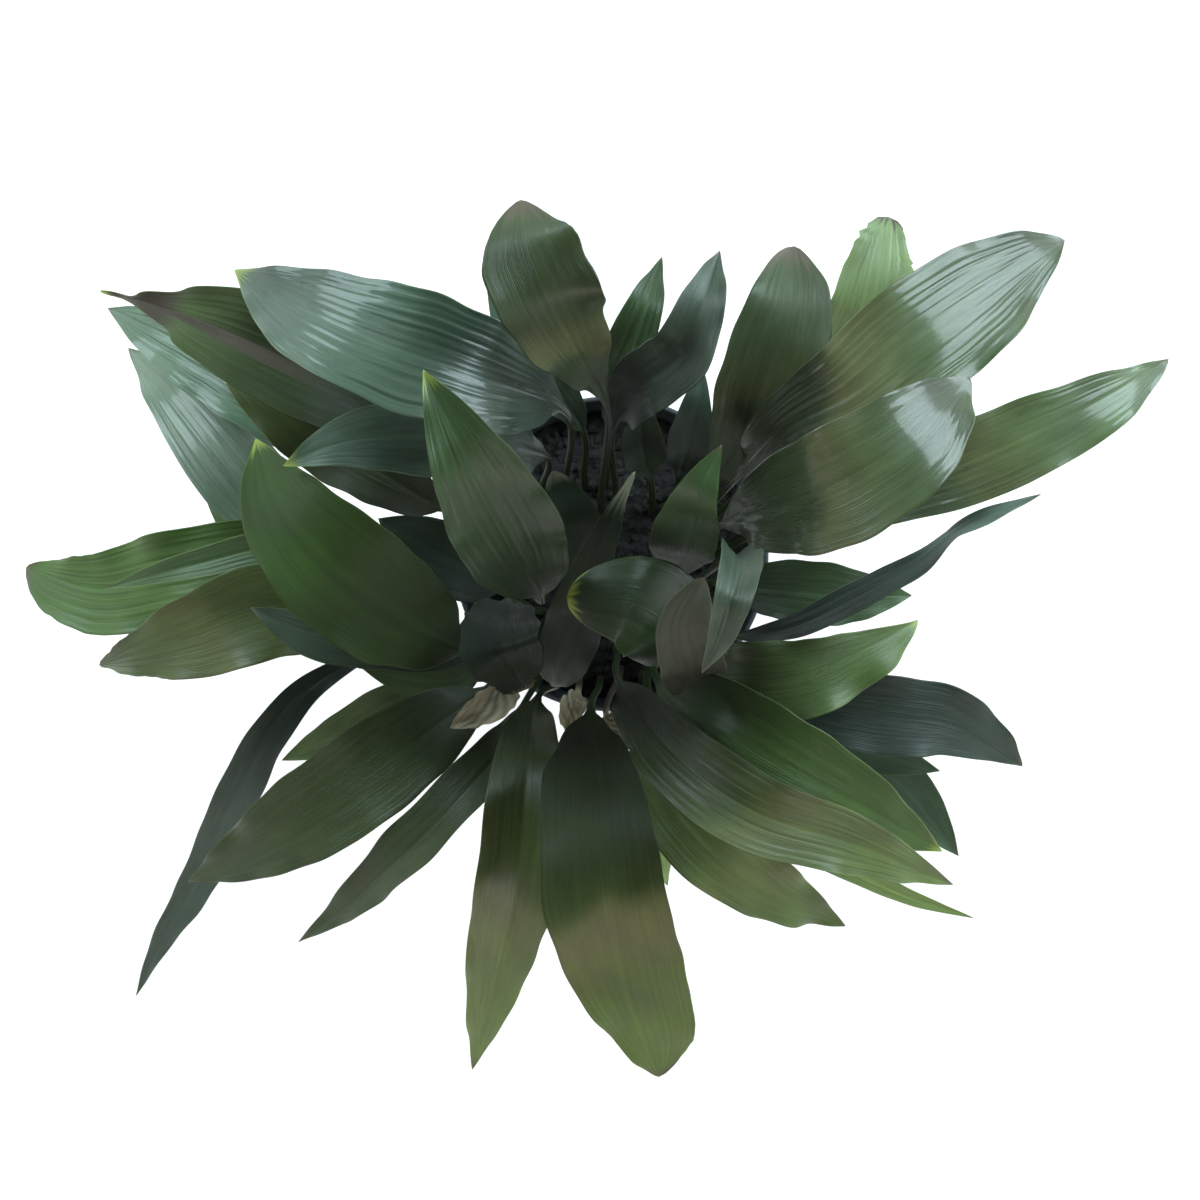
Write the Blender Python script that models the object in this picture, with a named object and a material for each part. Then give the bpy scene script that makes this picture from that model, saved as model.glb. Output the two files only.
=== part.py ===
# Potted cast iron plant (Aspidistra elatior): long leathery leaves on upright stalks,
# rising one by one from the compost of a plain round pot. +Z is up, the pot rests on z = 0.
# Every leaf, with the stalk it grows on, is one piece; so is each withered sheath.
import bpy
import bmesh
import numpy as np

# ---------------------------------------------------------------- pot and compost (metres)
POT_HEIGHT = 0.265
POT_RIM_RADIUS = 0.150
POT_COLLAR_HEIGHT = 0.030
POT_COLLAR_STEP = 0.0045
POT_BASE_RADIUS = 0.112
POT_FOOT_CHAMFER = 0.003
POT_WALL = 0.0045
POT_FLOOR = 0.006
POT_SEGMENTS = 48
DRAIN_HOLES = 6
DRAIN_RADIUS = 0.0055
DRAIN_RING = 0.074
SOIL_TOP = 0.235
SOIL_SEGMENTS = 40
SEAT_GAP = 0.0003

# ---------------------------------------------------------------- leaves (metres)
STALK_RADIUS = 0.0028
STALK_FLARE = 0.25
BLADE_THICKNESS = 0.0009
NECK_REACH = 0.020
CUP = 0.15
SECTION_POINTS = 8
STALK_STATIONS = 4
BLADE_STATIONS = (0.07, 0.19, 0.34, 0.50, 0.66, 0.81, 0.93)
CURVE_STEPS = 24

# Root on the compost (x, y); then the midrib from the neck of the blade, over its arch, to the tip
# (x, y, z); then half the blade's width. Options: belly = where along the blade it is widest,
# taper = how fully the tip end is rounded (small is blunt), tips = the same for the left and the
# right of the midrib where they differ, cup = how deep the channel is,
# roll = twist in degrees at the root and at each midrib point.
LEAVES = {
    # north-west, upper tier first
    "leaf_nw_1": dict(root=(-0.040, 0.050), half=0.046, roll=(0, 0, -14, -20, -10),
        rib=((-0.039, 0.101, 0.560), (-0.100, 0.114, 0.665), (-0.181, 0.141, 0.675),
             (-0.281, 0.200, 0.595))),
    "leaf_nw_2": dict(root=(-0.090, 0.050), half=0.040, belly=0.38, taper=2.4, cup=0.35,
        rib=((-0.150, 0.090, 0.450), (-0.215, 0.125, 0.530), (-0.290, 0.160, 0.545),
             (-0.360, 0.190, 0.500), (-0.430, 0.215, 0.440))),
    "leaf_nw_3": dict(root=(-0.105, 0.035), half=0.038,
        rib=((-0.185, 0.065, 0.360), (-0.254, 0.109, 0.445), (-0.334, 0.157, 0.440),
             (-0.444, 0.213, 0.375))),
    "leaf_nw_4": dict(root=(-0.110, 0.015), half=0.037,
        rib=((-0.192, -0.020, 0.330), (-0.249, -0.001, 0.395), (-0.301, 0.044, 0.410),
             (-0.374, 0.127, 0.385), (-0.441, 0.186, 0.325))),
    "leaf_nw_5": dict(root=(-0.080, 0.020), half=0.028, taper=0.7, tips=(1.0, 1.0),
        rib=((-0.145, 0.035, 0.420), (-0.190, 0.060, 0.470), (-0.245, 0.090, 0.500),
             (-0.285, 0.120, 0.500), (-0.325, 0.155, 0.480))),
    "leaf_nw_6": dict(root=(-0.065, 0.055), half=0.031,
        rib=((-0.055, 0.075, 0.460), (-0.100, 0.075, 0.570), (-0.155, 0.075, 0.610),
             (-0.200, 0.070, 0.615), (-0.245, 0.055, 0.595))),
    "leaf_nw_7": dict(root=(-0.075, -0.035), half=0.037,
        rib=((-0.050, -0.040, 0.560), (-0.075, 0.005, 0.680), (-0.100, 0.055, 0.735), (-0.125, 0.105, 0.740))),
    # west
    "leaf_w_1": dict(root=(-0.080, -0.070), half=0.046,
        rib=((-0.120, -0.085, 0.470), (-0.165, -0.055, 0.560), (-0.210, -0.015, 0.600),
             (-0.250, 0.030, 0.590), (-0.275, 0.080, 0.550))),
    "leaf_w_2": dict(root=(-0.115, -0.005), half=0.020,
        rib=((-0.180, -0.065, 0.300), (-0.280, -0.035, 0.335), (-0.335, 0.015, 0.345), (-0.370, 0.055, 0.335))),
    "leaf_w_3": dict(root=(-0.105, -0.015), half=0.040, tips=(0.45, 0.8),
        rib=((-0.155, -0.045, 0.340), (-0.225, -0.030, 0.410), (-0.285, -0.015, 0.440),
             (-0.365, -0.025, 0.440), (-0.445, -0.035, 0.400), (-0.525, -0.015, 0.350))),
    "leaf_w_4": dict(root=(-0.090, -0.030), half=0.013,
        rib=((-0.145, -0.035, 0.430), (-0.250, 0.000, 0.505), (-0.330, -0.015, 0.510), (-0.420, -0.035, 0.460))),
    "leaf_w_5": dict(root=(-0.110, -0.030), half=0.040,
        rib=((-0.145, -0.075, 0.390), (-0.200, -0.050, 0.455), (-0.270, -0.050, 0.480),
             (-0.345, -0.075, 0.470), (-0.440, -0.100, 0.410))),
    "leaf_w_6": dict(root=(-0.100, -0.050), half=0.025,
        rib=((-0.120, -0.090, 0.430), (-0.185, -0.075, 0.500), (-0.240, -0.070, 0.515), (-0.290, -0.050, 0.500))),
    "leaf_w_7": dict(root=(-0.060, -0.015), half=0.030,
        rib=((-0.085, -0.028, 0.440), (-0.131, -0.012, 0.482), (-0.190, 0.022, 0.487))),
    # south-west
    "leaf_sw_1": dict(root=(-0.105, -0.065), half=0.020, belly=0.45,
        rib=((-0.210, -0.090, 0.340), (-0.265, -0.120, 0.370), (-0.305, -0.165, 0.360), (-0.345, -0.230, 0.320),
             (-0.395, -0.315, 0.260), (-0.445, -0.385, 0.210), (-0.480, -0.445, 0.170))),
    "leaf_sw_2": dict(root=(-0.080, -0.095), half=0.041, taper=0.7, tips=(1.0, 1.0),
        rib=((-0.115, -0.125, 0.380), (-0.170, -0.165, 0.430), (-0.240, -0.215, 0.430),
             (-0.310, -0.260, 0.390), (-0.385, -0.300, 0.330))),
    "leaf_sw_3": dict(root=(-0.095, -0.080), half=0.020,
        rib=((-0.145, -0.120, 0.310), (-0.195, -0.135, 0.325), (-0.245, -0.165, 0.310), (-0.310, -0.195, 0.280))),
    "leaf_sw_4": dict(root=(-0.060, -0.105), half=0.024, taper=0.8, tips=(1.1, 1.1),
        roll=(0, 0, -20, -30, -30, -20, 0),
        rib=((-0.080, -0.140, 0.380), (-0.095, -0.170, 0.430), (-0.130, -0.210, 0.455),
             (-0.175, -0.255, 0.440), (-0.225, -0.305, 0.390), (-0.285, -0.355, 0.330))),
    "leaf_sw_5": dict(root=(-0.088, -0.062), half=0.018,
        rib=((-0.115, -0.105, 0.340), (-0.155, -0.115, 0.375), (-0.220, -0.105, 0.370))),
    # south
    "leaf_s_1": dict(root=(-0.045, -0.120), half=0.033, taper=0.75, tips=(1.0, 1.0),
        rib=((-0.065, -0.130, 0.400), (-0.070, -0.180, 0.480), (-0.075, -0.255, 0.490),
             (-0.095, -0.345, 0.440), (-0.125, -0.465, 0.350))),
    "leaf_s_2": dict(root=(-0.010, -0.120), half=0.049, belly=0.52, taper=0.65, tips=(0.38, 1.0),
        rib=((-0.018, -0.138, 0.440), (-0.010, -0.205, 0.545), (-0.005, -0.270, 0.560),
             (0.010, -0.350, 0.510), (0.040, -0.450, 0.420))),
    "leaf_s_3": dict(root=(0.015, -0.125), half=0.018,
        rib=((0.020, -0.175, 0.330), (0.030, -0.235, 0.370), (0.050, -0.300, 0.350))),
    "leaf_s_4": dict(root=(-0.065, -0.055), half=0.031, taper=0.7,
        rib=((-0.085, -0.045, 0.500), (-0.085, -0.080, 0.560), (-0.070, -0.115, 0.520))),
    # south-east
    "leaf_se_1": dict(root=(0.030, -0.115), half=0.034, taper=0.8, tips=(1.0, 1.0),
        rib=((0.025, -0.170, 0.380), (0.045, -0.205, 0.450), (0.080, -0.245, 0.465),
             (0.130, -0.285, 0.440), (0.205, -0.330, 0.380))),
    "leaf_se_2": dict(root=(0.005, -0.090), half=0.029, taper=0.8, tips=(1.0, 1.0),
        rib=((0.006, -0.112, 0.460), (0.050, -0.165, 0.575), (0.105, -0.200, 0.610),
             (0.175, -0.225, 0.590), (0.270, -0.270, 0.510))),
    "leaf_se_3": dict(root=(0.045, -0.115), half=0.010,
        rib=((0.050, -0.195, 0.340), (0.115, -0.235, 0.390), (0.195, -0.270, 0.420),
             (0.255, -0.300, 0.400), (0.320, -0.325, 0.370))),
    "leaf_se_4": dict(root=(0.040, -0.090), half=0.040, taper=0.7, tips=(1.0, 1.0),
        rib=((0.040, -0.115, 0.450), (0.085, -0.145, 0.530), (0.135, -0.175, 0.545),
             (0.200, -0.210, 0.520), (0.270, -0.250, 0.470))),
    "leaf_se_5": dict(root=(0.070, -0.095), half=0.026,
        rib=((0.155, -0.135, 0.310), (0.230, -0.185, 0.340), (0.275, -0.225, 0.335), (0.320, -0.280, 0.310))),
    "leaf_se_6": dict(root=(0.085, -0.085), half=0.020,
        rib=((0.130, -0.125, 0.350), (0.180, -0.160, 0.380), (0.235, -0.180, 0.385), (0.290, -0.195, 0.370))),
    "leaf_se_7": dict(root=(0.065, -0.070), half=0.034, tips=(0.8, 1.2),
        rib=((0.110, -0.110, 0.380), (0.165, -0.130, 0.430), (0.225, -0.140, 0.440),
             (0.285, -0.150, 0.430), (0.360, -0.190, 0.380))),
    # east
    "leaf_e_1": dict(root=(0.060, -0.065), half=0.033, taper=0.75, tips=(1.3, 0.75),
        rib=((0.075, -0.105, 0.430), (0.105, -0.110, 0.495), (0.150, -0.105, 0.510),
             (0.200, -0.085, 0.500), (0.250, -0.060, 0.470))),
    "leaf_e_2": dict(root=(0.090, -0.045), half=0.014, roll=(0, 0, 20, 30, 50, 70, 40, 20),
        rib=((0.105, -0.075, 0.390), (0.155, -0.065, 0.440), (0.205, -0.040, 0.455), (0.250, -0.015, 0.465),
             (0.280, 0.010, 0.465), (0.310, 0.025, 0.460), (0.360, 0.045, 0.440))),
    "leaf_e_3": dict(root=(0.085, -0.025), half=0.028,
        rib=((0.095, -0.030, 0.360), (0.145, -0.035, 0.390), (0.200, -0.040, 0.390), (0.265, -0.040, 0.370))),
    # north-east
    "leaf_ne_1": dict(root=(0.090, -0.005), half=0.034, tips=(1.1, 0.8),
        rib=((0.140, 0.020, 0.370), (0.210, 0.040, 0.430), (0.270, 0.060, 0.470), (0.330, 0.085, 0.485),
             (0.400, 0.120, 0.475), (0.470, 0.160, 0.430))),
    "leaf_ne_2": dict(root=(0.070, 0.000), half=0.042, belly=0.52, taper=0.8,
        rib=((0.085, 0.015, 0.530), (0.123, 0.024, 0.615), (0.161, 0.038, 0.665),
             (0.208, 0.069, 0.660), (0.259, 0.118, 0.612))),
    "leaf_ne_3": dict(root=(0.070, 0.020), half=0.045, belly=0.52, tips=(0.75, 1.0),
        rib=((0.100, 0.055, 0.490), (0.131, 0.086, 0.575), (0.172, 0.106, 0.609), (0.218, 0.142, 0.606),
             (0.284, 0.188, 0.578), (0.354, 0.238, 0.525))),
    "leaf_ne_4": dict(root=(0.085, 0.020), half=0.035, taper=0.45,
        rib=((0.130, 0.070, 0.390), (0.180, 0.130, 0.460), (0.203, 0.180, 0.490),
             (0.212, 0.220, 0.500), (0.222, 0.265, 0.490))),
    "leaf_ne_5": dict(root=(0.050, 0.045), half=0.038, tips=(0.6, 0.7),
        rib=((0.085, 0.055, 0.440), (0.105, 0.085, 0.520), (0.120, 0.130, 0.555),
             (0.135, 0.180, 0.560), (0.140, 0.230, 0.540))),
    # north
    "leaf_n_1": dict(root=(0.005, 0.045), half=0.025, cup=0.3,
        rib=((0.000, 0.095, 0.460), (0.020, 0.120, 0.540), (0.050, 0.140, 0.585),
             (0.065, 0.175, 0.595), (0.080, 0.220, 0.570))),
    "leaf_n_2": dict(root=(-0.005, 0.065), half=0.020,
        rib=((0.000, 0.130, 0.380), (0.010, 0.155, 0.470), (0.025, 0.190, 0.500), (0.040, 0.235, 0.480))),
    "leaf_n_3": dict(root=(-0.010, 0.040), half=0.036, belly=0.6, tips=(0.6, 0.65),
        rib=((-0.005, 0.105, 0.540), (-0.025, 0.130, 0.630), (-0.045, 0.160, 0.690),
             (-0.060, 0.195, 0.700), (-0.065, 0.230, 0.680))),
    "leaf_n_4": dict(root=(-0.025, 0.065), half=0.017,
        rib=((-0.025, 0.100, 0.420), (-0.050, 0.130, 0.500), (-0.080, 0.165, 0.530), (-0.100, 0.205, 0.520))),
    "leaf_n_5": dict(root=(0.040, 0.040), half=0.019,
        rib=((0.035, 0.065, 0.350), (0.025, 0.090, 0.430), (0.025, 0.115, 0.460), (0.035, 0.140, 0.460))),
    "leaf_n_6": dict(root=(0.060, 0.055), half=0.018,
        rib=((0.060, 0.065, 0.360), (0.065, 0.090, 0.420), (0.070, 0.120, 0.450), (0.075, 0.150, 0.450))),
    # centre, arching over the crown
    "leaf_c_1": dict(root=(0.035, -0.010), half=0.026,
        rib=((0.050, -0.022, 0.500), (0.052, 0.004, 0.600), (0.060, 0.036, 0.650), (0.075, 0.065, 0.655))),
    "leaf_c_2": dict(root=(0.020, -0.055), half=0.042, taper=0.5, cup=-0.28,
        rib=((0.052, -0.088, 0.480), (0.038, -0.060, 0.570), (0.010, -0.045, 0.620), (-0.035, -0.046, 0.610))),
    "leaf_c_3": dict(root=(0.075, -0.050), half=0.026, taper=0.65,
        rib=((0.064, -0.112, 0.530), (0.056, -0.090, 0.610), (0.050, -0.062, 0.645), (0.062, -0.028, 0.650))),
    "leaf_c_4": dict(root=(0.065, -0.035), half=0.015,
        rib=((0.082, -0.012, 0.560), (0.083, -0.014, 0.680), (0.077, -0.042, 0.720),
             (0.070, -0.070, 0.700), (0.060, -0.095, 0.665))),
    "leaf_c_5": dict(root=(-0.040, -0.095), half=0.026, belly=0.35,
        rib=((-0.055, -0.125, 0.380), (-0.035, -0.075, 0.470), (-0.020, -0.030, 0.550),
             (0.000, 0.020, 0.600), (0.015, 0.050, 0.610))),
    "leaf_c_6": dict(root=(-0.020, -0.020), half=0.025, taper=0.7,
        rib=((-0.025, -0.010, 0.360), (-0.035, 0.025, 0.420), (-0.050, 0.065, 0.430))),
    "leaf_c_7": dict(root=(0.035, -0.100), half=0.012,
        rib=((0.035, -0.130, 0.330), (0.050, -0.155, 0.360), (0.070, -0.185, 0.350))),
}

# Withered sheaths of old leaves, papery and small, built the same way as a leaf.
SHEATHS = {
    "dry_sheath_1": dict(root=(-0.070, -0.095), half=0.014, cup=0.5,
        rib=((-0.085, -0.115, 0.420), (-0.100, -0.130, 0.460), (-0.135, -0.150, 0.455))),
    "dry_sheath_2": dict(root=(-0.030, -0.105), half=0.011, cup=0.5,
        rib=((-0.030, -0.125, 0.370), (-0.035, -0.140, 0.390), (-0.040, -0.160, 0.380))),
    "dry_sheath_3": dict(root=(0.010, -0.110), half=0.012, cup=0.5,
        rib=((-0.005, -0.145, 0.370), (0.005, -0.160, 0.385), (0.015, -0.175, 0.380))),
}

# Bare stalks left standing where old blades were lost: root (x, y) and top (x, y, z).
OLD_STALKS = {
    "old_stalk_1": ((-0.095, 0.020), (-0.150, -0.010, 0.370)),
    "old_stalk_2": ((-0.088, 0.036), (-0.125, 0.050, 0.350)),
}
OLD_STALK_RADIUS = 0.0019

# Base colour (linear), roughness and metalness of each family of pieces.
FINISHES = {
    "pot": ((0.055, 0.068, 0.078), 0.62, 0.0),
    "soil": ((0.020, 0.013, 0.009), 0.95, 0.0),
    "leaf": ((0.030, 0.070, 0.028), 0.34, 0.0),
    "dry": ((0.300, 0.235, 0.150), 0.80, 0.0),
    "old": ((0.050, 0.045, 0.032), 0.75, 0.0),
}


# ---------------------------------------------------------------- shared helpers
def clear_scene():
    for old in list(bpy.data.objects):
        bpy.data.objects.remove(old, do_unlink=True)


def finish_of(name):
    """One material for each piece, in the finish its family has."""
    colour, roughness, metallic = FINISHES[name.split("_")[0]]
    material = bpy.data.materials.new(name + "_finish")
    material.use_nodes = True
    shader = material.node_tree.nodes["Principled BSDF"]
    shader.inputs["Base Color"].default_value = (*colour, 1.0)
    shader.inputs["Roughness"].default_value = roughness
    shader.inputs["Metallic"].default_value = metallic
    material.diffuse_color = (*colour, 1.0)
    return material


def add_piece(name, points, faces, finished=True):
    """A named closed piece from its points and faces, with its faces turned outward."""
    mesh = bpy.data.meshes.new(name)
    mesh.from_pydata([tuple(p) for p in points], [], [tuple(f) for f in faces])
    edit = bmesh.new()
    edit.from_mesh(mesh)
    bmesh.ops.recalc_face_normals(edit, faces=edit.faces)
    edit.to_mesh(mesh)
    edit.free()
    piece = bpy.data.objects.new(name, mesh)
    bpy.context.scene.collection.objects.link(piece)
    if finished:
        mesh.materials.append(finish_of(name))
    return piece


def turned(profile, segments):
    """Points and faces of a profile (radius, height) turned about Z; radius 0 gives a pole."""
    angles = np.arange(segments) * 2.0 * np.pi / segments
    points = []
    rings = []
    for radius, height in profile:
        if radius == 0.0:
            rings.append([len(points)])
            points.append((0.0, 0.0, height))
            continue
        rings.append(list(range(len(points), len(points) + segments)))
        points += [(radius * np.cos(a), radius * np.sin(a), height) for a in angles]
    faces = []
    for lower, upper in zip(rings[:-1], rings[1:]):
        for k in range(segments):
            n = (k + 1) % segments
            if len(lower) == 1:
                faces.append((lower[0], upper[k], upper[n]))
            elif len(upper) == 1:
                faces.append((lower[k], lower[n], upper[0]))
            else:
                faces.append((lower[k], lower[n], upper[n], upper[k]))
    return points, faces


# ---------------------------------------------------------------- pot and compost
def wall_radius(height):
    """Outer radius of the pot's plain tapered wall at a height."""
    under_collar = POT_RIM_RADIUS - POT_COLLAR_STEP - 0.0005
    share = height / (POT_HEIGHT - POT_COLLAR_HEIGHT)
    return POT_BASE_RADIUS + (under_collar - POT_BASE_RADIUS) * share


def build_pot():
    collar_foot = POT_HEIGHT - POT_COLLAR_HEIGHT
    bore_top = POT_RIM_RADIUS - POT_WALL
    profile = [
        (0.0, 0.0),
        (DRAIN_RING - 0.020, 0.0),
        (POT_BASE_RADIUS - POT_FOOT_CHAMFER, 0.0),
        (POT_BASE_RADIUS + 0.0004, POT_FOOT_CHAMFER),
        (wall_radius(collar_foot), collar_foot),
        (POT_RIM_RADIUS - 0.001, collar_foot + 0.003),
        (POT_RIM_RADIUS, POT_HEIGHT - 0.003),
        (POT_RIM_RADIUS - 0.0015, POT_HEIGHT),
        (bore_top + 0.001, POT_HEIGHT),
        (bore_top, POT_HEIGHT - 0.002),
        (wall_radius(collar_foot) - POT_WALL, collar_foot - 0.006),
        (wall_radius(POT_FLOOR) - POT_WALL, POT_FLOOR),
        (DRAIN_RING - 0.020, POT_FLOOR),
        (0.0, POT_FLOOR),
    ]
    points, faces = turned(profile, POT_SEGMENTS)
    pot = add_piece("pot", points, faces)
    for k in range(DRAIN_HOLES):
        drill_drain(pot, (k + 0.27) * 2.0 * np.pi / DRAIN_HOLES)
    return pot


def drill_drain(pot, angle):
    """One round drain hole through the floor of the pot."""
    reach = POT_FLOOR + 0.004
    profile = [(0.0, -reach), (DRAIN_RADIUS, -reach), (DRAIN_RADIUS, reach), (0.0, reach)]
    points, faces = turned(profile, 12)
    x = DRAIN_RING * np.cos(angle)
    y = DRAIN_RING * np.sin(angle)
    points = [(p[0] + x, p[1] + y, p[2]) for p in points]
    cutter = add_piece("drain_cutter", points, faces, finished=False)
    cutter.hide_render = True
    cutter.display_type = "WIRE"
    cut = pot.modifiers.new("drain", "BOOLEAN")
    cut.operation = "DIFFERENCE"
    cut.solver = "EXACT"
    cut.object = cutter
    bpy.context.view_layer.update()
    graph = bpy.context.evaluated_depsgraph_get()
    result = bpy.data.meshes.new_from_object(pot.evaluated_get(graph))
    pot.modifiers.remove(cut)
    pot.data = result
    bpy.data.objects.remove(cutter, do_unlink=True)


def build_soil():
    """The compost: a tapered plug inside the pot with a flat bed the roots stand on."""
    def plug(height):
        return wall_radius(height) - POT_WALL - SEAT_GAP
    foot = POT_FLOOR + SEAT_GAP
    shoulder = POT_HEIGHT - POT_COLLAR_HEIGHT - 0.006
    profile = [
        (0.0, foot),
        (plug(foot) - 0.002, foot),
        (plug(foot + 0.004), foot + 0.004),
        (plug(shoulder) - 0.0002, shoulder - 0.001),
        (plug(shoulder) - 0.0002, SOIL_TOP),
        (0.090, SOIL_TOP),
        (0.0, SOIL_TOP),
    ]
    points, faces = turned(profile, SOIL_SEGMENTS)
    return add_piece("soil", points, faces)


# ---------------------------------------------------------------- leaves
def unit(vectors):
    return vectors / np.maximum(np.linalg.norm(vectors, axis=-1, keepdims=True), 1e-12)


def smooth_curve(points):
    """Centripetal Catmull-Rom curve through the points, and the index of each point on it."""
    p = np.asarray(points, float)
    p = np.vstack([2 * p[0] - p[1], p, 2 * p[-1] - p[-2]])
    pieces = []
    marks = [0]
    for i in range(1, len(p) - 2):
        knots = np.concatenate([[0.0], np.cumsum(np.linalg.norm(np.diff(p[i - 1:i + 3], axis=0), axis=1) ** 0.5)])
        last = i == len(p) - 3
        t = np.linspace(knots[1], knots[2], CURVE_STEPS, endpoint=last)[:, None]
        level = [p[i - 1], p[i], p[i + 1], p[i + 2]]
        for order in (1, 2, 3):
            level = [blend(level[k], level[k + 1], t, knots, k, order) for k in range(4 - order)]
        pieces.append(level[0])
        marks.append(marks[-1] + len(t))
    marks[-1] -= 1
    return np.vstack(pieces), marks


def blend(a, b, t, knots, k, order):
    """One step of the Catmull-Rom pyramid between two neighbouring values."""
    if order == 3:
        low, high = knots[1], knots[2]
    else:
        low, high = knots[k], knots[k + order]
    return (high - t) / (high - low) * a + (t - low) / (high - low) * b


def leaf_route(leaf):
    """Midline from the root, up the stalk, along the blade: dense points, distances and marks."""
    root = np.array([*leaf["root"], SOIL_TOP + SEAT_GAP])
    neck = np.array(leaf["rib"][0])
    knee = root + (neck - root) * np.array([0.22, 0.22, 0.45])
    dense, marks = smooth_curve([root, knee, *leaf["rib"]])
    run = np.concatenate([[0.0], np.cumsum(np.linalg.norm(np.diff(dense, axis=0), axis=1))])
    return dense, run, [run[m] for m in marks]


def leaf_frames(leaf, along):
    """Points on the midline at distances along it, with the side and face directions there."""
    dense, run, marks = leaf_route(leaf)
    def at(distance):
        return np.stack([np.interp(distance, run, dense[:, k]) for k in range(3)], axis=1)
    step = 0.002
    heading = unit(at(np.clip(along + step, 0, run[-1])) - at(np.clip(along - step, 0, run[-1])))
    reach = dense[-1] - dense[0]
    outward = unit(np.array([reach[0], reach[1], 0.0]))
    # The stalk may lean one way and the blade the other: the side is read from the blade just past
    # its neck, so the leaf doesn't turn over there.
    ahead = np.clip(along, marks[2] + NECK_REACH, run[-1] - step)
    course = unit(at(ahead + step) - at(ahead - step))
    level = course * np.array([1.0, 1.0, 0.0]) + 0.12 * outward
    side = np.cross(level, [0.0, 0.0, 1.0])
    side = unit(side - (side * heading).sum(1, keepdims=True) * heading)
    face = np.cross(side, heading)
    rolls = (0.0,) + tuple(leaf.get("roll", (0.0,) * (len(marks) - 1)))
    roll = np.radians(np.interp(along, marks, rolls))[:, None]
    return at(along), side * np.cos(roll) + face * np.sin(roll), face * np.cos(roll) - side * np.sin(roll)


def blade_outline(share, rise, fall):
    """Half-width share along the blade, t^rise (1-t)^fall, scaled to 1 where it is widest."""
    widest = rise / (rise + fall)
    shape = np.clip(share, 0, 1) ** rise * np.clip(1 - share, 0, 1) ** fall
    return shape / (widest ** rise * (1 - widest) ** fall)


def blade_widths(leaf, share):
    """Half-widths of the blade to the left and to the right of its midrib."""
    belly = leaf.get("belly", 0.48)
    taper = leaf.get("taper", 1.0)
    rise = taper * belly / (1.0 - belly)
    return [leaf["half"] * blade_outline(share, rise, fall) for fall in leaf.get("tips", (taper, taper))]


def leaf_points(leaf):
    """Rings of points of one leaf: a round stalk that flattens into the channelled blade."""
    _, run, marks = leaf_route(leaf)
    neck, end = marks[2], run[-1]
    stalk = np.linspace(0.0, neck, STALK_STATIONS)
    along = np.concatenate([stalk, neck + (end - neck) * np.array(BLADE_STATIONS)])
    middle, side, face = leaf_frames(leaf, along)
    share = (along - neck) / (end - neck)
    left, right = blade_widths(leaf, share)
    stem = STALK_RADIUS * (1.0 + STALK_FLARE * np.clip(1.0 - along / neck, 0.0, 1.0))
    stem = stem * np.clip(1.0 - share, 0.0, 1.0) ** 0.5
    thick = np.where(share <= 0.0, stem * 0.9, 0.0)
    thick = np.maximum(thick, STALK_RADIUS * 0.9 * np.clip(1.0 - 3.0 * share, 0.0, 1.0))
    thick = np.maximum(thick, BLADE_THICKNESS)
    turn = np.arange(SECTION_POINTS) * 2.0 * np.pi / SECTION_POINTS
    across = np.cos(turn)[None, :]
    half = np.where(across > 0.0, np.hypot(right, stem)[:, None], np.hypot(left, stem)[:, None])
    channel = leaf.get("cup", CUP) * half * (across ** 2 - 0.35)
    lift = channel * np.clip(share * 6.0, 0.0, 1.0)[:, None] + thick[:, None] * np.sin(turn)[None, :]
    points = middle[:, None] + side[:, None] * (half * across)[..., None] + face[:, None] * lift[..., None]
    points[0, :, 2] = SOIL_TOP + SEAT_GAP
    tip = leaf_frames(leaf, np.array([end]))[0]
    return np.vstack([points.reshape(-1, 3), tip]), len(along)


def ring_faces(rings, count, tip):
    """Side faces between rings of `count` points, a flat cap on the first and a fan to the tip.
    The underside is split the same way as the top, so a twisted thin blade keeps its thickness."""
    faces = [tuple(range(count))]
    for r in range(rings - 1):
        for k in range(count):
            a = r * count + k
            b = r * count + (k + 1) % count
            if 2 * k < count:
                faces += [(a, b, b + count), (a, b + count, a + count)]
            else:
                faces += [(a, b, a + count), (b, b + count, a + count)]
    start = (rings - 1) * count
    if tip is None:
        faces.append(tuple(range(start, start + count)))
    else:
        faces += [(start + k, start + (k + 1) % count, tip) for k in range(count)]
    return faces


def build_leaf(name, leaf):
    points, rings = leaf_points(leaf)
    return add_piece(name, points, ring_faces(rings, SECTION_POINTS, len(points) - 1))


def build_old_stalk(name, root, top):
    """A thin bare stalk, bowed a little, cut off square at its top."""
    start = np.array([*root, SOIL_TOP + SEAT_GAP])
    stop = np.array(top)
    knee = start + (stop - start) * np.array([0.3, 0.3, 0.5])
    dense, _ = smooth_curve([start, knee, stop])
    middle = dense[:: CURVE_STEPS // 2]
    turn = np.arange(6) * 2.0 * np.pi / 6
    ring = OLD_STALK_RADIUS * np.stack([np.cos(turn), np.sin(turn), 0.0 * turn], axis=1)
    points = (middle[:, None] + ring[None, :]).reshape(-1, 3)
    return add_piece(name, points, ring_faces(len(middle), 6, None))


# ---------------------------------------------------------------- assembly
def main():
    clear_scene()
    build_pot()
    build_soil()
    for name, leaf in LEAVES.items():
        build_leaf(name, leaf)
    for name, sheath in SHEATHS.items():
        build_leaf(name, sheath)
    for name, (root, top) in OLD_STALKS.items():
        build_old_stalk(name, root, top)


main()
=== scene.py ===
# Potted cast iron plant: leathery arching leaves on single stalks, dark bark compost and a plain
# round pot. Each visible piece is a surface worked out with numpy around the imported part.
from collections import namedtuple

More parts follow.
